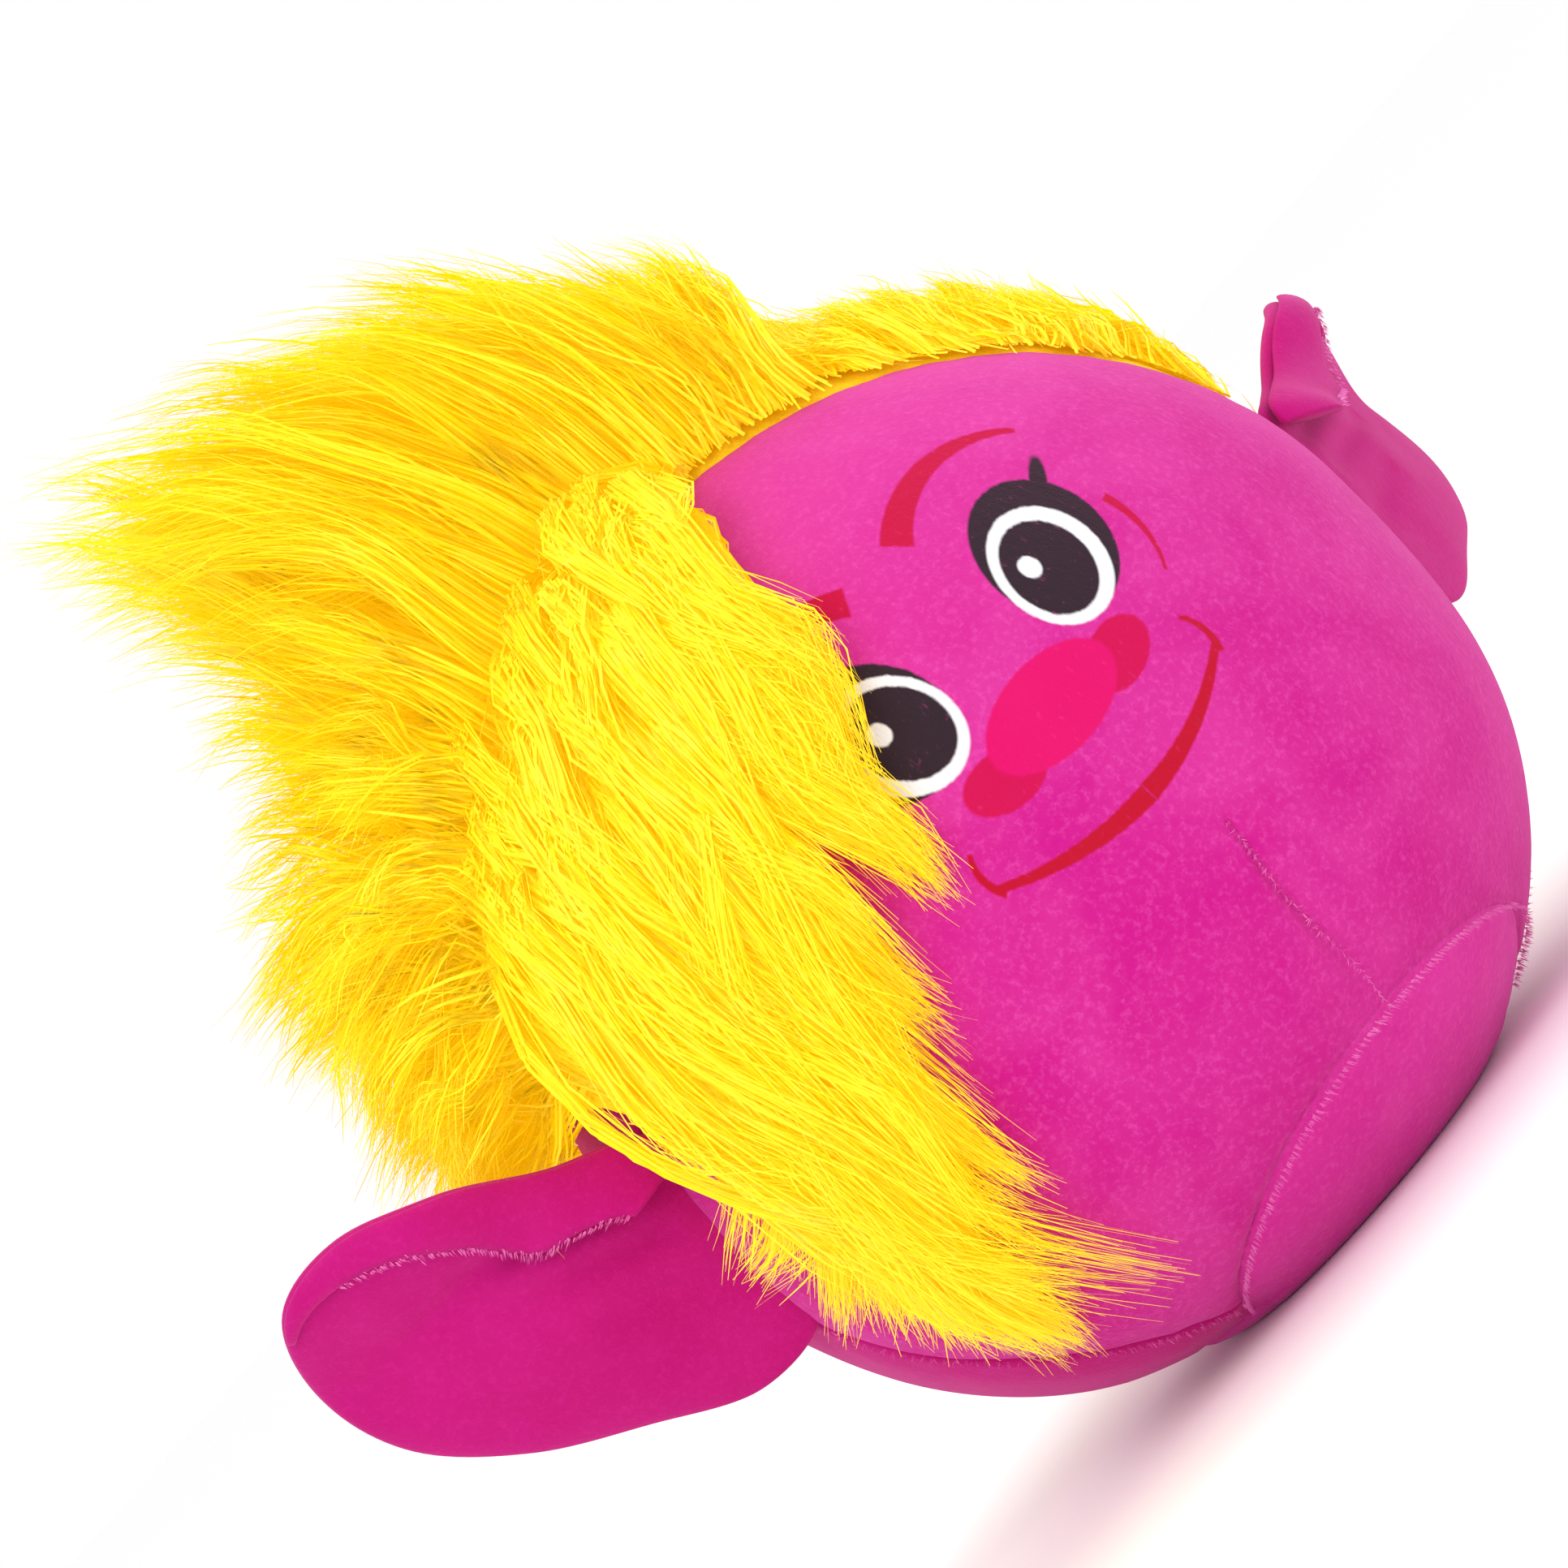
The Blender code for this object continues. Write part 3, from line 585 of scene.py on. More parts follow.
def sew(points):
    """Sinks the smooth head's points into seam valleys, with puckers beside them and soft lumps all over."""
    distance = seam_distance(points)
    seam = SEAM_DEPTH * np.exp(-((distance / SEAM_WIDTH) ** 1.3))
    pillow = PILLOW_DEPTH * np.exp(-((distance / PILLOW_WIDTH) ** 2))
    dart = dart_distance(points)
    fade = smoothstep(DART_TOP[2] + 4 * MM, CHIN_MIDDLE[2] + 22 * MM, points[..., 2])
    seam = np.maximum(seam, DART_DEPTH * (0.45 + 0.55 * fade) * np.exp(-((dart / SEAM_WIDTH) ** 1.3)))
    pillow += DART_PILLOW * fade * np.exp(-((dart / PILLOW_WIDTH) ** 2))
    step = smoothstep(-0.4 * MM, 0.4 * MM, (points - CENTRE) @ DART)
    pillow += DART_STEP * (1 - step) * np.exp(-((dart / (2.5 * PILLOW_WIDTH)) ** 2))
    near = np.exp(-np.minimum(distance, dart + 2 * MM) / PUCKER_REACH)
    puckers = PUCKER_DEPTH * near * (0.5 + 0.9 * noise_at(points, PUCKER_SCALE))
    lumps = LUMP_DEPTH * (0.5 + noise_at(points, LUMP_SCALE, 7.0))
    depth = np.minimum(seam + pillow + np.maximum(puckers, 0.0) + np.maximum(lumps, 0.0), DEEPEST)
    depth *= smoothstep(-2 * MM, 9 * MM, points[..., 2]) * 0.9 + 0.1
    sunk = points - head_normal(points) * depth[..., None]
    sunk[..., 2] = np.maximum(sunk[..., 2], 0.0)
    return settled(sunk)


def new_object(name, data):
    made = bpy.data.objects.new(name, data)
    bpy.context.scene.collection.objects.link(made)
    return made


def link_mesh(name, mesh, finish):
    mesh.shade_smooth()
    mesh.materials.append(finish)
    return new_object(name, mesh)


def finish_mesh(name, bm, finish):
    bmesh.ops.dissolve_degenerate(bm, dist=2e-5, edges=bm.edges[:])
    bmesh.ops.recalc_face_normals(bm, faces=bm.faces[:])
    mesh = bpy.data.meshes.new(name)
    bm.to_mesh(mesh)
    bm.free()
    return link_mesh(name, mesh, finish)


def skin_panel(name, bm, finish, nodes):
    place_verts(bm, sew(verts_of(bm)))
    made = finish_mesh(name, bm, finish)
    cloth = made.modifiers.new("cloth", "SOLIDIFY")
    cloth.thickness = CLOTH_THICKNESS
    cloth.offset = -1.0
    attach(made, "head")
    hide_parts(*nodes)
    return made


def make_skin():
    ball = head_ball()
    chin, low = (CHIN, CHIN_MIDDLE), (UPWARDS, BASE_SEAM)
    under_chin, under_low = (-CHIN, CHIN_MIDDLE), (-UPWARDS, BASE_SEAM)
    face = cut_panel(ball, is_face, (HAIRLINE, CHEEK), (chin,))
    slice_dart(face)
    skin_panel("skin_face", face, printed_velour("velour_face"), ["face_panel"])
    base = cut_panel(ball, is_base, (), (under_chin, under_low))
    slice_dart(base)
    # Painted light: the base panel's velour is a lighter copy of the cloth.
    base_painted_light_finish = velour("velour_base_painted_light", *BASE_PAINTED_LIGHT_COLOURS)
    skin_panel("skin_base", base, base_painted_light_finish, ["base_panel"])
    # Painted shade: the velour of the back panels and the ears is a darker copy of the cloth.
    back_painted_shade_finish = velour("velour_back_painted_shade", *BACK_PAINTED_SHADE_COLOURS)
    for side, sign in SIDES.items():

        def is_half(spots, margin, sign=sign):
            return is_back(spots, margin) & (spots[:, 0] * sign > margin)

        straight = (chin, low, (SIDEWAYS * sign, CENTRE))
        back = cut_panel(ball, is_half, (-HAIRLINE, -CHEEK, -SCALP), straight)
        skin_panel(f"skin_back_{side}", back, back_painted_shade_finish, [f"back_panel_{side}"])
    scalp = cut_panel(ball, is_scalp, (-HAIRLINE, SCALP))
    skin_panel("skin_scalp", scalp, scalp_backing("fur_knit"), ["scalp_left", "scalp_right"])
    ball.free()
    return back_painted_shade_finish


def scalp_backing(name):
    """The knitted ground of the fur, with its dense short underfur."""
    made, tree, surface = new_material(name)
    place, *_ = coordinates(tree)
    under = noise_field(tree, place, 900.0, 3.0, 0.7)
    patches = noise_field(tree, place, 120.0, 2.0)
    deep, light = (srgb(*colour) for colour in BACKING_COLOURS)
    colour = blend_colours(tree, under.between(0.3, 0.7), deep, light)
    plug(tree, colour, surface.inputs["Base Color"])
    plug(tree, patches * 0.2 + 0.7, surface.inputs["Roughness"])
    add_bump(tree, surface, under, 0.6, 0.8 * MM)
    return made


# -------- ribbons: hair, and nap along the seams


def ribbons(name, paths, widths, rolls, finish):
    """One mesh of many ribbons. paths is (hairs, points, 3), widths (hairs, points), rolls in radians."""
    hairs, points = paths.shape[:2]
    tangents = unit(np.gradient(paths, axis=1))
    outward = unit(paths - CENTRE)
    across = unit(np.cross(tangents, outward) + 1e-6)
    over = np.cross(tangents, across)
    turn = rolls[:, None, None]
    half = (across * np.cos(turn) + over * np.sin(turn)) * widths[..., None] / 2
    verts = np.stack([paths - half, paths + half], axis=2).reshape(-1, 3)
    first = (np.arange(hairs)[:, None] * points + np.arange(points - 1)[None, :]).reshape(-1) * 2
    faces = np.stack([first, first + 1, first + 3, first + 2], axis=1).astype(np.int32)
    mesh = bpy.data.meshes.new(name)
    mesh.vertices.add(len(verts))
    mesh.vertices.foreach_set("co", verts.astype(np.float32).ravel())
    mesh.loops.add(faces.size)
    mesh.loops.foreach_set("vertex_index", faces.ravel())
    mesh.polygons.add(len(faces))
    mesh.polygons.foreach_set("loop_start", np.arange(0, faces.size, 4, dtype=np.int32))
    mesh.update(calc_edges=True)
    return link_mesh(name, mesh, finish)


NAP_STEP = 2.4 * MM
NAP_LENGTH = 1.9 * MM
NAP_HAIRS = 7
NAP_WIDTHS = 0.34 * MM * np.array((1.0, 0.9, 0.6, 0.1))
CHIN_REACH, CHIN_SEAM_LENGTH = 62, 300 * MM


def arc_points(start, end):
    """Evenly spaced points over the surface along the seam between two landmarks."""
    first, last = unit(start - CENTRE), unit(end - CENTRE)
    opening = math.acos(first @ last)
    count = int(opening * MEAN_RADIUS / NAP_STEP)
    share = np.linspace(0.01, 0.99, count)[:, None]
    headings = np.sin((1 - share) * opening) * first + np.sin(share * opening) * last
    return head_surface(headings)


def chin_points():
    """Evenly spaced points along the arched chin seam, found by halving the height over and over."""
    azimuth = np.linspace(-CHIN_REACH, CHIN_REACH, int(CHIN_SEAM_LENGTH / NAP_STEP))
    low, high = np.full_like(azimuth, BASE_SEAM_HEIGHT), np.full_like(azimuth, CENTRE[2])
    for _ in range(24):
        middle = (low + high) / 2
        points = ring_point(azimuth, middle)
        under = above_chin(points) < 0
        low, high = np.where(under, middle, low), np.where(under, high, middle)
    return points


def nap(name, spots, lean, finish, chance):
    """Tufts of pale pile that the stitches leave standing along a seam."""
    spots = np.repeat(spots, NAP_HAIRS, axis=0)
    count = len(spots)
    normals = head_normal(spots)
    along = unit(np.gradient(spots, axis=0) + chance.normal(0, 1e-6, spots.shape))
    spots = spots + along * chance.normal(0, 0.5, (count, 1)) * MM + lean * 0.3 * MM
    outward = unit(normals * 0.9 + lean * 0.7 + chance.normal(0, 0.3, (count, 3)))
    lengths = NAP_LENGTH * chance.uniform(0.5, 1.1, (count, 1, 1))
    share = np.linspace(0, 1, 4)[None, :, None]
    roots = spots - normals * 1.3 * MM
    paths = roots[:, None, :] + outward[:, None, :] * lengths * share * 1.4
    widths = np.tile(NAP_WIDTHS, (count, 1))
    made = ribbons(name, settled(paths), widths, chance.normal(0, 0.8, count), finish)
    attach(made, "head")
    return made


def make_nap():
    chance = np.random.default_rng(SEED + 1)
    pale = velour("velour_nap", *NAP_COLOURS)
    downwards = np.array((0.0, -0.2, -1.0))
    nap("nap_chin", chin_points(), downwards, pale, chance)
    dart = arc_points(DART_TOP, CHIN_MIDDLE)
    nap("nap_dart", dart, np.array((-1.0, 0.0, 0.0)), pale, chance)
    for side, sign in SIDES.items():
        mirror = np.array((sign, 1.0, 1.0))
        cheek = arc_points(EAR_FOOT * mirror, CHIN_CORNER * mirror)
        nap(f"nap_cheek_{side}", cheek, np.array((0.0, -1.0, 0.1)), pale, chance)
    return pale


# -------- fur

CROWN_GUIDES, CROWN_HAIRS = 2300, 27
FORELOCK_GUIDES, FORELOCK_HAIRS = 420, 46
GUIDE_POINTS = 14
HAIR_POINTS = 9
HAIR_WIDTH = 0.92 * MM
CLUMP_RADIUS = 9 * MM
PILE_FLOOR = 2.0 * MM
# Painted shade at the roots, the fur's own yellow, and a painted highlight colour.
FUR_SHADE_BODY_HIGHLIGHT_COLOURS = ((251, 213, 0), (253, 222, 12), (255, 238, 82))
FUR_SHEEN, FUR_LIGHT = (255, 246, 120), (255, 226, 0)
# A painted glow, which stands in for the light that pale fibres pass on to one another and a solid ribbon
# can't.
FUR_GLOW = 0.16

# How far the tips of the crown's fur are from the head's centre, by degrees round from +X over the top to -X.
TIP_ANGLES = (10, 24, 45, 58, 66, 71, 76, 86, 95, 103, 110, 116, 120, 124, 133, 150, 156, 163, 172)
TIP_REACH = (164, 172, 174, 160, 176, 228, 252, 206, 248, 286, 304, 300, 276, 228, 214, 222, 208, 194, 178)
TIP_DATUM = 152 * MM

# Where one way of lying gives way to the next: two in degrees over the top, and one in depth.
FRINGE_TO_CREST, CREST_TO_SIDE = (56, 80), (118, 150)
FRONT_TO_BACK = (10 * MM, 90 * MM)
CREST_SWEEP, SIDE_SWEEP = 13, 9
FRINGE_LENGTH, BACK_LENGTH = 36 * MM, 58 * MM
CREST_ANGLES, BACK_DEPTH = (66, 128), 55 * MM

# Where the forelock's tips lie, by share of the way along the hairline from the crown to the ear.
LOCK_SHARES = (0.0, 0.08, 0.18, 0.32, 0.5, 0.68, 0.85, 1.0)
LOCK_AZIMUTHS = (-19, -27, -34, -40, -47, -55, -65, -72)
LOCK_HEIGHTS = (218, 165, 108, 62, 40, 36, 56, 92)
LOCK_LOWEST = 30 * MM
LOCK_ARCH, LOCK_WAVE = (8 * MM, 28 * MM), 20 * MM
LOCK_DRAWN_IN = 0.42


def pile_angle(points):
    """Degrees round the Y axis, from +X over the top to -X."""
    offset = points - CENTRE
    return np.degrees(np.arctan2(offset[..., 2], offset[..., 0]))


def column(values):
    return values[:, None]


def wave(paths, chance, depth, turns=(0.7, 1.5), loose_ends=0.3):
    """Gives each guide its own slow bends, so that neighbouring locks cross and part, but keeps its ends."""
    count, points = paths.shape[:2]
    share = np.linspace(0, 1, points)[None, :, None]
    slack = np.sin(np.pi * share**0.8) * 0.8 + share * loose_ends
    for rate in turns:
        axis = unit(chance.normal(size=(count, 1, 3)))
        phase = chance.uniform(0, math.tau, size=(count, 1, 1))
        bend = np.sin(share * rate * math.tau + phase)
        paths = paths + axis * bend * slack * depth / rate
    return paths


def locks(guides, stride, pull):
    """Draws guides together towards their tips, round every stride-th one, as locks of hair hang."""
    leaders = guides[::stride]
    gaps = np.linalg.norm(guides[:, None, 0] - leaders[None, :, 0], axis=-1)
    nearest = leaders[np.argmin(gaps, axis=1)]
    share = np.linspace(0, 1, GUIDE_POINTS)[None, :, None] ** 1.4
    return guides + (nearest - guides) * pull * share


def lift(places, clearance):
    """Moves points that are too close to the head, or inside it, out to the clearance."""
    offset = places - CENTRE
    reach = np.linalg.norm(offset, axis=-1)
    surface = np.linalg.norm(head_surface(offset) - CENTRE, axis=-1)
    wanted = np.maximum(reach, surface + clearance)
    return CENTRE + offset * (wanted / reach)[..., None]


def bowed(roots, leaving, tips, arriving):
    """The guides' smooth curves from roots to tips."""
    share = np.linspace(0, 1, GUIDE_POINTS)[None, :, None]
    return between(roots[:, None], leaving[:, None], tips[:, None], arriving[:, None], share)


def sample_scalp(chance, count):
    """Random roots over the fur panels, as points on the skin."""
    headings = unit(chance.normal(size=(count * 6, 3)))
    points = head_surface(headings)
    return points[is_scalp(points, 0.5 * MM)][:count]


def crown_guides(roots, chance):
    """Fur that stands up and out: short on the right, a crest that bends left, long arcs on the left."""
    angle = pile_angle(roots)
    radial = unit(roots - CENTRE)
    count = len(roots)
    back = smoothstep(*FRONT_TO_BACK, roots[:, 1])
    rise = smoothstep(*FRINGE_TO_CREST, angle)
    left = smoothstep(*CREST_TO_SIDE, angle)
    sweep = CREST_SWEEP * rise * (1 - smoothstep(104, 118, angle)) + SIDE_SWEEP * smoothstep(124, 150, angle)
    target = angle + sweep + chance.normal(0, 2.4, count)
    reach = np.interp(target, TIP_ANGLES, TIP_REACH) * MM
    flat = np.hypot(radial[:, 0], radial[:, 2])
    turned = np.radians(target)
    ahead = np.stack([np.cos(turned) * flat, radial[:, 1], np.sin(turned) * flat], axis=1)
    around = np.stack([-np.sin(turned), np.zeros(count), np.cos(turned)], axis=1)
    surface = np.linalg.norm(roots - CENTRE, axis=1)
    tall = (reach - TIP_DATUM) * (1 - 0.55 * back) * chance.uniform(0.72, 1.03, count)
    short = FRINGE_LENGTH * chance.uniform(0.75, 1.1, count)
    pile = np.maximum(tall, 0.0) * flat + 10 * MM
    tips = CENTRE + ahead * column(surface + pile)
    combed = roots + unit(radial * 0.34 + around * 0.5 + np.array((0.0, 0.46, 0.06))) * column(short)
    hanging = BACK_LENGTH * chance.uniform(0.7, 1.08, count)
    trailing = roots + unit(radial * 0.5 + np.array((0.0, 0.45, -0.7))) * column(hanging)
    tips = tips * column(rise) + combed * column(1 - rise)
    tips = tips * column(1 - back) + trailing * column(back)
    tips = tips + chance.normal(0, 5, (count, 3)) * MM * column(0.3 + rise)
    span = np.linalg.norm(tips - roots, axis=1)
    lifted = np.array((0.0, 0.25, 0.0)) + np.array((0.0, -0.1, 0.45)) * column(left)
    lifted = lifted + (around * 0.6 + np.array((0.0, 0.3, 0.0))) * column(1 - rise)
    leaving = unit(radial + lifted + chance.normal(0, 0.14, (count, 3))) * column(span * 1.15)
    droop = np.array((-0.1, 0.1, -0.75)) * column(left * (1 - back))
    droop = droop + np.array((0.0, 0.1, -0.3)) * column(back)
    over = around * column(0.75 * rise * (1 - left) * (1 - back))
    arriving = (unit(tips - roots) * 0.8 + droop + over) * column(span * 0.95)
    paths = bowed(roots, leaving, tips, arriving)
    depth = (5 + 5 * left)[:, None, None] * MM
    return lift(locks(wave(paths, chance, depth), 9, 0.5), PILE_FLOOR)


def forelock_guides(chance, count):
    """Long fur from the left half of the hairline, which arches out and falls over the side of the face."""
    share = chance.uniform(0.0, 1.0, count) ** 1.1
    calm = (1 - 0.7 * smoothstep(0.4, 0.95, share))[:, None, None]
    first, last = unit(HAIRLINE_TOP - CENTRE), unit(TEMPLE - CENTRE)
    opening = math.acos(first @ last) * 0.6
    blend = np.sin(opening * (1 - share))[:, None] * first + np.sin(share * opening)[:, None] * last
    uneven = np.array([noise.noise(Vector((value * 11.0, 0.3, 0.0))) for value in share])
    depth = 0.02 + (0.2 + 0.16 * uneven) * chance.uniform(0.0, 1.0, count) ** 3
    behind = depth * smoothstep(-0.1, 0.2, share)
    headings = unit(unit(blend) - HAIRLINE * column(behind)) * (-1, 1, 1)
    roots = head_surface(headings)
    azimuth = np.interp(share, LOCK_SHARES, LOCK_AZIMUTHS) + chance.normal(0, 3.2, count)
    height = np.interp(share, LOCK_SHARES, LOCK_HEIGHTS) * MM + chance.normal(0, 16, count) * MM
    tips = ring_point(azimuth, np.maximum(height, LOCK_LOWEST))
    layer = chance.uniform(0.0, 1.0, (count, 1, 1))
    along = np.linspace(0, 1, GUIDE_POINTS)[None, :, None]
    reach = chance.uniform(0.5, 1.0, (count, 1, 1)) ** 0.6
    start, end = unit(roots - CENTRE)[:, None], unit(tips - CENTRE)[:, None]
    turn = np.arccos(np.clip(np.sum(start * end, -1, keepdims=True), -1, 1))
    path = (np.sin((1 - along * reach) * turn) * start + np.sin(along * reach * turn) * end) / np.sin(turn)
    drawn_in = LOCK_DRAWN_IN * np.sin(np.pi * along) * smoothstep(0.35, 1.0, share)[:, None, None]
    path = unit(path + drawn_in * np.array((1.0, -0.3, 0.0)))
    puff = (LOCK_ARCH[0] + LOCK_ARCH[1] * layer) * calm
    arch = puff * np.sin(np.pi * np.clip(along * 0.96 + 0.02, 0, 1)) ** 0.7
    rest = (3 + 8 * layer) * MM * along
    rooted = smoothstep(0.0, 0.16, along)
    surface = np.linalg.norm(head_surface(path) - CENTRE, axis=-1, keepdims=True)
    paths = CENTRE + path * (surface + (arch * (1 - 0.5 * along) + rest) * rooted)
    tossed = (3 + 30 * chance.uniform(0, 1, (count, 1, 1)) ** 2) * calm
    swept = np.sin(np.pi * np.clip(along / 0.38, 0, 1)) * (1 - along) * tossed * MM
    paths = paths - (HAIRLINE * (-1, 1, 1)) * swept
    curled = wave(paths, chance, LOCK_WAVE * calm, (1.2, 2.5), 0.6)
    return lift(locks(curled, 12, 0.86), PILE_FLOOR)


def strands(guides, per_guide, chance, gather=0.86, stray=3.0, spread=CLUMP_RADIUS):
    """Hairs that start round each guide's root and draw together towards its tip."""
    count = len(guides) * per_guide
    owner = np.repeat(np.arange(len(guides)), per_guide)
    reach = chance.uniform(0.62, 1.0, count) ** 0.7
    share = np.linspace(0, 1, HAIR_POINTS)[None, :]
    along = share * reach[:, None] * (GUIDE_POINTS - 1)
    lower = np.minimum(along.astype(int), GUIDE_POINTS - 2)
    part = (along - lower)[..., None]
    path = guides[owner[:, None], lower] * (1 - part) + guides[owner[:, None], lower + 1] * part
    roots = guides[owner, 0] + chance.normal(0, 0.5, (count, 3)) * spread
    offset = head_surface(roots - CENTRE) - guides[owner, 0]
    closing = (1 - gather * (share * column(reach)) ** 1.2)[..., None]
    path = path + offset[:, None, :] * closing
    loose = chance.normal(0, 1, (count, 1, 3)) * stray * MM
    curl = np.sin(share * chance.uniform(3, 8, (count, 1)) + chance.uniform(0, math.tau, (count, 1)))
    path = path + loose * (share**2)[..., None]
    return path + unit(chance.normal(size=(count, 1, 3))) * (curl * share * 1.2 * MM)[..., None]


def hair_widths(count, chance):
    share = np.linspace(0, 1, HAIR_POINTS)[None, :]
    full = HAIR_WIDTH * chance.uniform(0.6, 1.25, (count, 1))
    return full * (0.12 + 0.88 * (1 - share**3))


def fur_material(name, painted_root_shade, body, painted_highlight):
    """Glossy acrylic pile with painted light: painted shade at the roots that pales further out, paler
    patches of a painted highlight colour that make each lock a little different, and a painted glow.
    """
    made, tree, surface = new_material(name)
    place, across, depth, up = coordinates(tree)
    out = length(length(across, depth), up - float(CENTRE[2] / MM)) - MEAN_RADIUS / MM
    locks = noise_field(tree, place, 70.0, 3.0, 0.6)
    fine = noise_field(tree, place, 900.0, 2.0, 0.6)
    # Painted shade: darker near the skin, deep in the pile.
    height = (out + locks * 20.0 - 10.0).between(-2.0, 26.0)
    colour = blend_colours(tree, height, srgb(*painted_root_shade), srgb(*body))
    # Painted highlights: paler patches at random over locks and fibres.
    highlight_patches = locks.between(0.5, 0.8) * 0.4 + fine.between(0.5, 0.8) * 0.45
    colour = blend_colours(tree, highlight_patches, colour, srgb(*painted_highlight))
    plug(tree, colour, surface.inputs["Base Color"])
    plug(tree, fine * 0.2 + 0.4, surface.inputs["Roughness"])
    fill_in(surface, {"Specular IOR Level": 0.35, "Sheen Weight": 0.3, "Sheen Roughness": 0.5})
    fill_in(surface, {"Sheen Tint": srgb(*FUR_SHEEN)})
    # A painted glow, so that the fur's shaded parts stay bright.
    fill_in(surface, {"Emission Color": srgb(*FUR_LIGHT), "Emission Strength": FUR_GLOW})
    return made


def lock_piece(name, paths, chance, finish, node):
    widths = hair_widths(len(paths), chance)
    rolls = chance.normal(0, 0.6, len(paths))
    made = ribbons(name, settled(paths), widths, rolls, finish)
    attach(made, "head")
    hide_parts(node)
    return made


def make_fur():
    chance = np.random.default_rng(SEED)
    finish = fur_material("fur_yellow_painted_light", *FUR_SHADE_BODY_HIGHLIGHT_COLOURS)
    roots = sample_scalp(chance, CROWN_GUIDES)
    angle = pile_angle(roots)
    behind = -side_of(HAIRLINE, roots)
    back = roots[:, 1] > BACK_DEPTH
    crest_from, crest_to = CREST_ANGLES
    regions = {
        "hair_fringe_right": ~back & (angle < crest_from),
        "hair_crest": ~back & (angle >= crest_from) & (angle < crest_to),
        "hair_side_left": ~back & (angle >= crest_to),
        "hair_back": back,
    }
    guides = crown_guides(roots, chance)
    parted = (angle > 92) & (behind < 10 * MM)
    for node, chosen in regions.items():
        piece = strands(guides[chosen & ~parted], CROWN_HAIRS, chance)
        lock_piece(node.replace("hair", "fur"), piece, chance, finish, node)
    falling = forelock_guides(chance, FORELOCK_GUIDES)
    lock = strands(falling, FORELOCK_HAIRS, chance, gather=0.93, stray=3.5, spread=6 * MM)
    lock_piece("fur_forelock", lock, chance, finish, "hair_forelock")


# -------- ears

EAR_OUTLINE = (
    *((-12, 4), (14, -4), (44, 7), (75, 21), (100, 43), (108.5, 72), (99, 102.5)),
    *((74, 112.5), (45, 105.5), (18, 89), (-12, 78), (-12, 54), (-12, 28)),
)
EAR_MIDDLE = (52, 55)
EAR_ROOT_CLEARANCE = 8.5 * MM
EAR_BULGE, EAR_RIM = 8.6 * MM, 0.9 * MM
EAR_LIP = 16 * MM
EAR_LIP_FROM, EAR_LIP_TO, EAR_LIP_TAPER = 66 * MM, 112 * MM, 60 * MM
EAR_ROOT_FULLNESS, EAR_ROOT_TAPER = 0.5, 45 * MM
EAR_LEAN = {"left": 20.0, "right": 49.0}
EAR_DROOP = {"left": -0.1, "right": 0.42}
EAR_TWIST = {"left": 0.0, "right": 2.4}
EAR_TWIST_FROM = 15 * MM
EAR_SEGMENTS = (144, 72)
# Each crease is its depth, its two ends and its width, in millimetres.
EAR_CREASES = (
    (3.0, (-8, 66), (60, 82), 4.5),
    (1.8, (4, 54), (56, 66), 4.0),
    (1.8, (-6, 30), (38, 44), 6.0),
    (1.6, (34, 78), (86, 74), 4.5),
)
DEEPEST_CREASE = 3.0
ROLL_FROM, ROLL_TO = 0.44, 0.79
ROLL_POINTS, ROLL_SIDES = 70, 20
LIP_STAND = 10.5
LIP_TUFTS = 46


def ear_outline(share):
    """Points of the ear's outline, in millimetres out from and along the root, on a smooth closed curve."""
    corners = np.array(EAR_OUTLINE)
    count = len(corners)
    position = share * count
    first = np.floor(position).astype(int)
    part = (position - first)[..., None]
    before, start, end, after = (corners[(first + step) % count] for step in (-1, 0, 1, 2))
    return between(start, (end - before) / 2, end, (after - start) / 2, part)


def ear_lip(out, along):
    """How far the ear's upper edge curls forward."""
    return -EAR_LIP * smoothstep(EAR_LIP_FROM, EAR_LIP_TO, along) * smoothstep(0.0, EAR_LIP_TAPER, out)


def ear_frame(side):
    """The ear's own axes, from its joint: Z up the root, X to the right before the ear leans back."""
    joint = next(j for j in frame["record"]["behaviour"]["joints"] if j["child"] == f"ear_{side}")
    up = Vector(joint["axis"])
    up = up if up.z > 0 else -up
    right = (Vector((1, 0, 0)) - up * up.x).normalized()
    back = up.cross(right)
    axes = Matrix((right, back, up)).transposed().to_4x4()
    lean = Matrix.Rotation(math.radians(SIDES[side] * EAR_LEAN[side]), 4, "Z")
    return Matrix.Translation(joint["pos_m"]) @ axes @ lean


def ear_points(side, out, along, depth):
    """Places points given as out from the root, along it and towards the back, in metres, on the ear."""
    across = SIDES[side] * (out + EAR_ROOT_CLEARANCE)
    twist = EAR_TWIST[side] * np.maximum(along - EAR_TWIST_FROM, 0.0) * np.maximum(out, 0.0)
    local = np.stack([across, depth + twist + ear_lip(out, along), along - EAR_DROOP[side] * out], -1)
    world = ear_frame(side)
    turn, shift = np.array(world.to_3x3()), np.array(world.translation)
    return local @ turn.T + shift


def fold_line(out, along, start, end, width):
    """1 along a straight crease between two points in millimetres, and less beside it."""
    start, end = np.array(start) * MM, np.array(end) * MM
    run = end - start
    offset = np.stack([out, along], -1) - start
    share = np.clip((offset @ run) / (run @ run), 0, 1)
    gap = np.linalg.norm(offset - share[..., None] * run, axis=-1)
    return np.exp(-((gap / (width * MM)) ** 2)) * np.sin(np.pi * np.clip(share * 0.9 + 0.1, 0, 1)) ** 0.5


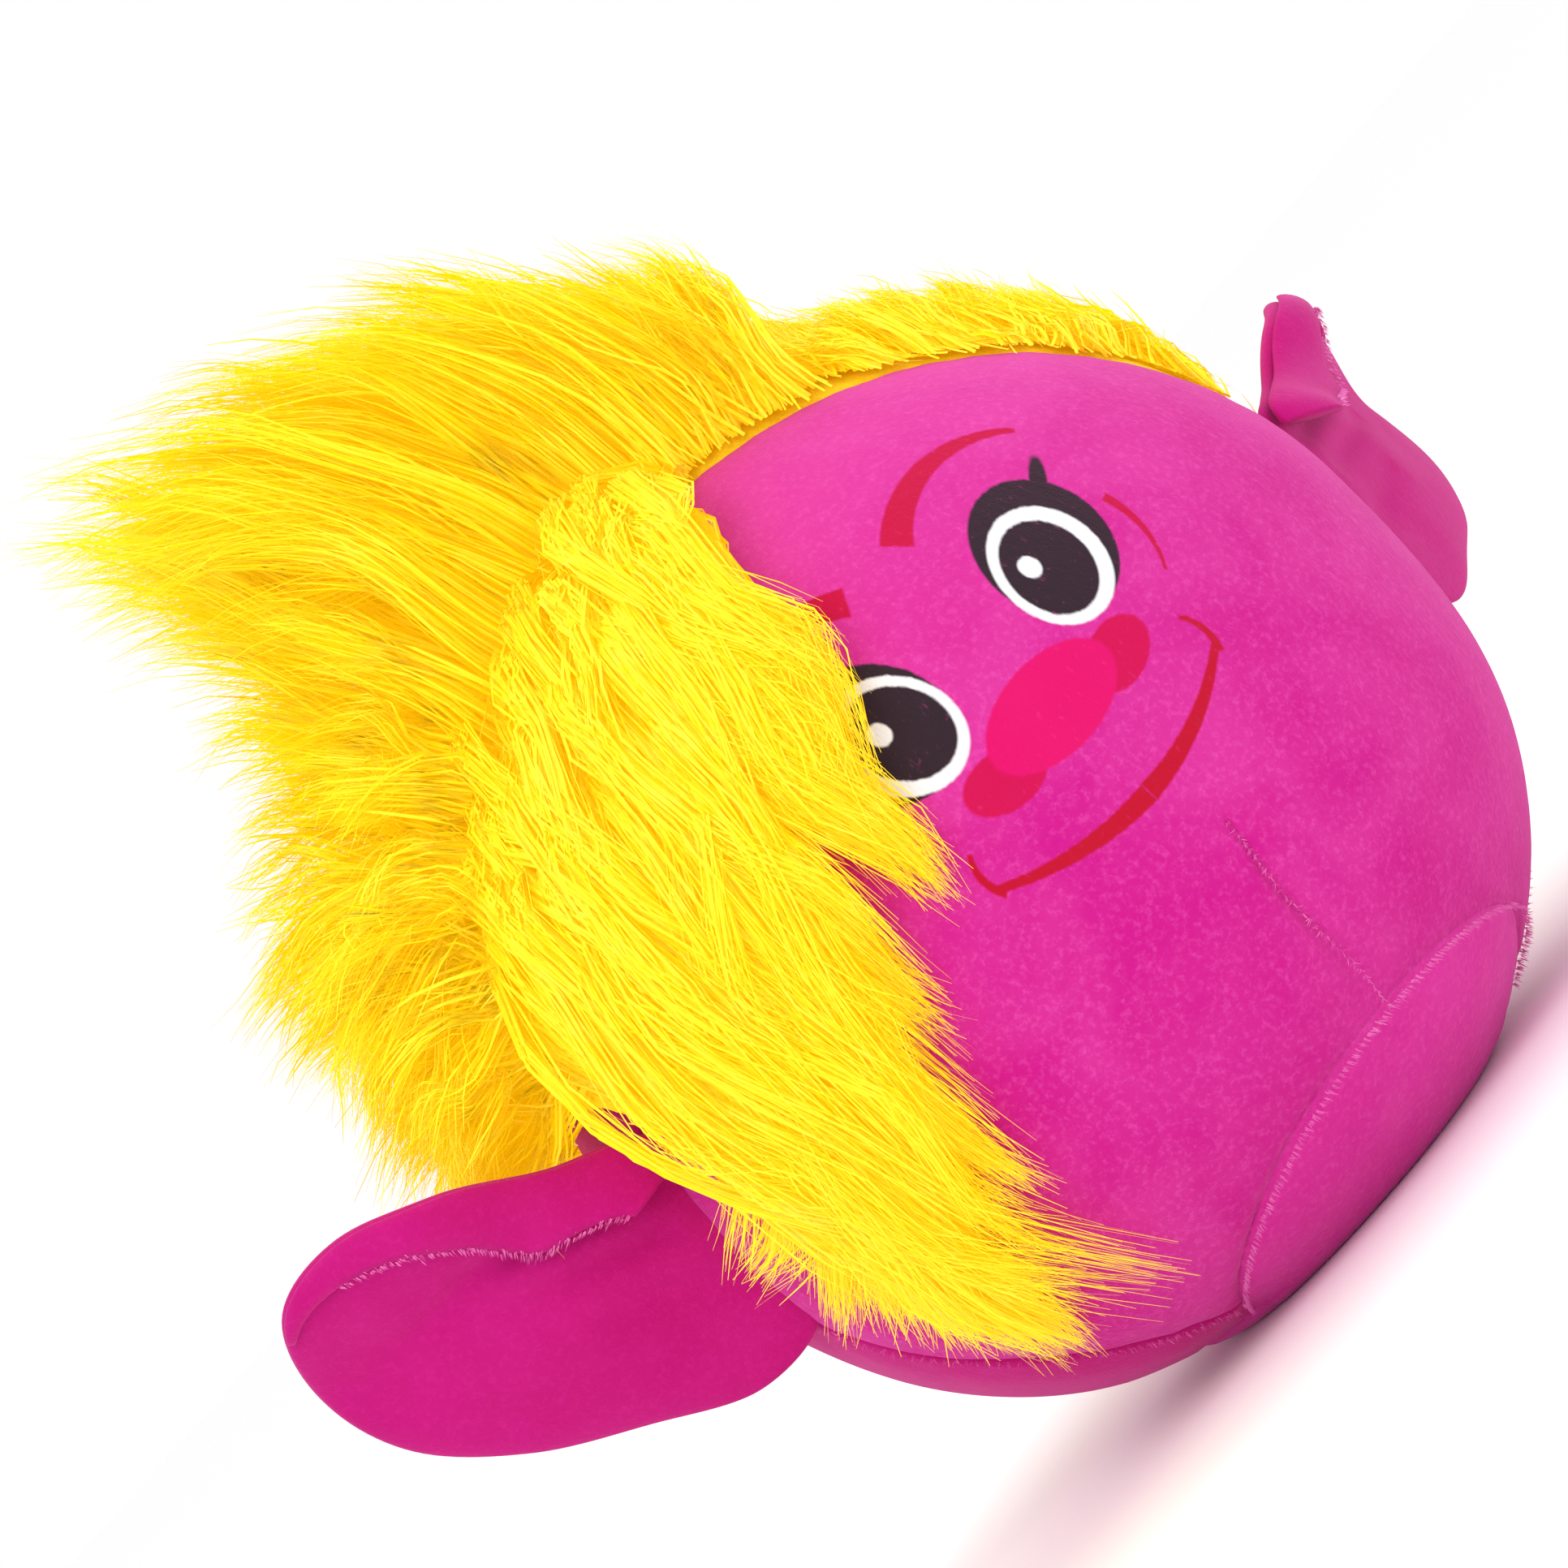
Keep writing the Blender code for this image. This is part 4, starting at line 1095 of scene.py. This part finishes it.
def leaf(side):
    """The ear's padded body: a ball pressed flat onto the outline, with soft creases in its front."""
    bm = bmesh.new()
    bmesh.ops.create_uvsphere(bm, u_segments=EAR_SEGMENTS[0], v_segments=EAR_SEGMENTS[1], radius=1.0)
    bmesh.ops.rotate(bm, verts=bm.verts[:], matrix=Matrix.Rotation(math.radians(90), 3, "X"))
    ball = verts_of(bm)
    spread = np.hypot(ball[:, 0], ball[:, 2])
    share = (np.arctan2(ball[:, 2], ball[:, 0]) / math.tau) % 1.0
    middle = np.array(EAR_MIDDLE)
    flat = (middle + (ear_outline(share) - middle) * (spread * 1.01)[:, None]) * MM
    out, along = flat[:, 0], flat[:, 1]
    fullness = EAR_ROOT_FULLNESS + (1 - EAR_ROOT_FULLNESS) * smoothstep(0.0, EAR_ROOT_TAPER, out)
    facing = np.sign(ball[:, 1])
    depth = EAR_BULGE * fullness * ball[:, 1] + facing * EAR_RIM * smoothstep(0, 0.2, np.abs(ball[:, 1]))
    front = smoothstep(0.0, 0.5, -ball[:, 1])
    creases = sum(deep * fold_line(out, along, *ends, width) for deep, *ends, width in EAR_CREASES)
    flat_points = np.stack([out, along, np.zeros_like(out)], -1)
    lumps = 0.8 * MM * noise_at(flat_points, 45.0, 3.0 * SIDES[side])
    depth = depth + front * np.minimum(creases, DEEPEST_CREASE) * MM + lumps * facing * (1 - spread**4)
    place_verts(bm, ear_points(side, out, along, depth))
    return bm


def lip_line(share):
    """The rim where the lip is folded, the way in from it, and the lip's half-width, in millimetres."""
    rim = ear_outline(ROLL_TO + (ROLL_FROM - ROLL_TO) * share)
    inward = unit(np.array(EAR_MIDDLE) - rim)
    return rim, inward, 14.0 * (1 - share) ** 0.8 * smoothstep(-0.25, 0.12, share) + 1.0


def roll(side):
    """The ear's upper edge, folded over to the front: a flat tube along the rim, wide at the root."""
    share = np.linspace(0, 1, ROLL_POINTS)
    rim, inward, width = lip_line(share)
    thick = 3.0 * (1 - share) ** 0.4 + 0.5
    turn = np.linspace(0, math.tau, ROLL_SIDES, endpoint=False)
    flap, swell = np.cos(turn)[None, :], np.sin(turn)[None, :]
    reach = (flap + 0.84) * width[:, None]
    flat = (rim[:, None, :] + inward[:, None, :] * reach[..., None]) * MM
    crease = np.sin(share * 23 + 1.3)[:, None] * 0.5 * (1 - share)[:, None]
    stand = LIP_STAND * (1 - share)[:, None] ** 0.7 * ((flap + 1) / 2) ** 0.8
    depth = -(4.4 + stand + crease + swell * thick[:, None]) * MM
    points = ear_points(side, flat[..., 0], flat[..., 1], depth)
    bm = bmesh.new()
    rings = [[bm.verts.new(point) for point in ring] for ring in points]
    for lower, upper in zip(rings, rings[1:]):
        for place in range(ROLL_SIDES):
            after = (place + 1) % ROLL_SIDES
            bm.faces.new((lower[place], lower[after], upper[after], upper[place]))
    bm.faces.new(rings[0])
    bm.faces.new(rings[-1][::-1])
    return bm


def lip_nap(side, chance, finish):
    """Pale pile along the free edge of the folded lip."""
    share = np.repeat(np.linspace(0.02, 0.8, LIP_TUFTS), NAP_HAIRS)
    count = len(share)
    rim, inward, width = lip_line(share)
    flat = (rim + inward * (1.8 * width)[:, None] + chance.normal(0, 0.5, (count, 2))) * MM
    depth = -(5.4 + LIP_STAND * (1 - share) ** 0.7 + chance.uniform(0, 1.6, count)) * MM
    length_out = np.linspace(0, 1, 4)[None, :] * NAP_LENGTH * chance.uniform(0.5, 1.1, (count, 1))
    out = flat[:, :1] + inward[:, :1] * length_out
    along = flat[:, 1:] + inward[:, 1:] * length_out
    paths = ear_points(side, out, along, depth[:, None] - 0.5 * length_out)
    widths = np.tile(NAP_WIDTHS, (count, 1))
    return ribbons(f"nap_ear_{side}", paths, widths, chance.normal(0, 0.8, count), finish)


def join_meshes(first, second):
    shared = bpy.data.meshes.new("joined")
    second.to_mesh(shared)
    first.from_mesh(shared)
    bpy.data.meshes.remove(shared)
    second.free()


def make_ears(finish, pale):
    chance = np.random.default_rng(SEED + 2)
    for side, sign in SIDES.items():
        bm = leaf(side)
        join_meshes(bm, roll(side))
        # The ears take the velour with painted shade.
        ear = finish_mesh(f"velour_ear_painted_shade_{side}", bm, finish)
        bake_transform(ear)
        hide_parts(f"ear_{side}_front", f"ear_{side}_back")
        tufts = lip_nap(side, chance, pale)
        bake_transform(tufts)


# -------- camera, light and floor

VIEW_AZIMUTH, VIEW_ELEVATION, VIEW_ROLL = -17.5, 2.0, 47.5
VIEW_DISTANCE = 2.0
VIEW_WIDTH = 464 * MM
VIEW_AIM = (-27.5 * MM, 208 * MM)
SENSOR = 36.0
LIGHT_AIM = Vector((0, 0, 200 * MM))
LIGHTS = (  # name, place, size in metres, watts
    ("key", (-0.9, -1.5, 1.5), 1.0, 13),
    ("fill", (1.6, -1.2, 0.7), 1.4, 3),
    ("top", (0.1, 0.3, 1.9), 1.4, 9),
)
FLOOR_SIZE = 12.0
FLOOR_WHITES = ((252, 252, 252), (255, 255, 255))


def make_camera():
    turn, rise, roll = (math.radians(value) for value in (VIEW_AZIMUTH, VIEW_ELEVATION, VIEW_ROLL))
    back = Vector((math.sin(turn) * math.cos(rise), -math.cos(turn) * math.cos(rise), math.sin(rise)))
    right = Vector((0, 0, 1)).cross(back).normalized()
    up = back.cross(right)
    rolled_right = right * math.cos(roll) - up * math.sin(roll)
    rolled_up = right * math.sin(roll) + up * math.cos(roll)
    aim = right * VIEW_AIM[0] + Vector((0, 0, VIEW_AIM[1]))
    data = bpy.data.cameras.new("view")
    data.sensor_width = SENSOR
    data.lens = SENSOR * VIEW_DISTANCE / VIEW_WIDTH
    camera = new_object("view", data)
    axes = Matrix((rolled_right, rolled_up, back)).transposed().to_4x4()
    camera.matrix_world = Matrix.Translation(aim + back * VIEW_DISTANCE) @ axes
    bpy.context.scene.camera = camera


def area_light(name, place, size, power):
    data = bpy.data.lights.new(name, "AREA")
    data.size = size
    data.energy = power
    lamp = new_object(name, data)
    lamp.location = place
    towards = LIGHT_AIM - Vector(place)
    lamp.rotation_euler = towards.to_track_quat("-Z", "Y").to_euler()


def make_studio():
    scene = bpy.context.scene
    scene.view_settings.view_transform = "Standard"
    world = bpy.data.worlds.new("studio")
    world.use_nodes = True
    fill_in(world.node_tree.nodes["Background"], {"Color": (1, 1, 1, 1), "Strength": 1.0})
    scene.world = world
    for name, place, size, power in LIGHTS:
        area_light(name, place, size, power)
    bpy.ops.mesh.primitive_plane_add(size=FLOOR_SIZE, location=(0, 0, 0))
    floor = bpy.context.object
    floor.name = "floor"
    made, tree, surface = new_material("floor_paper")
    place, *_ = coordinates(tree)
    tone = noise_field(tree, place, 30.0, 3.0)
    white, bright = (srgb(*colour) for colour in FLOOR_WHITES)
    plug(tree, blend_colours(tree, tone, white, bright), surface.inputs["Base Color"])
    surface.inputs["Roughness"].default_value = 0.9
    floor.data.materials.append(made)


# -------- all of it

make_camera()
make_studio()
magenta_painted_shade = make_skin()
pale_nap = make_nap()
make_ears(magenta_painted_shade, pale_nap)
make_fur()
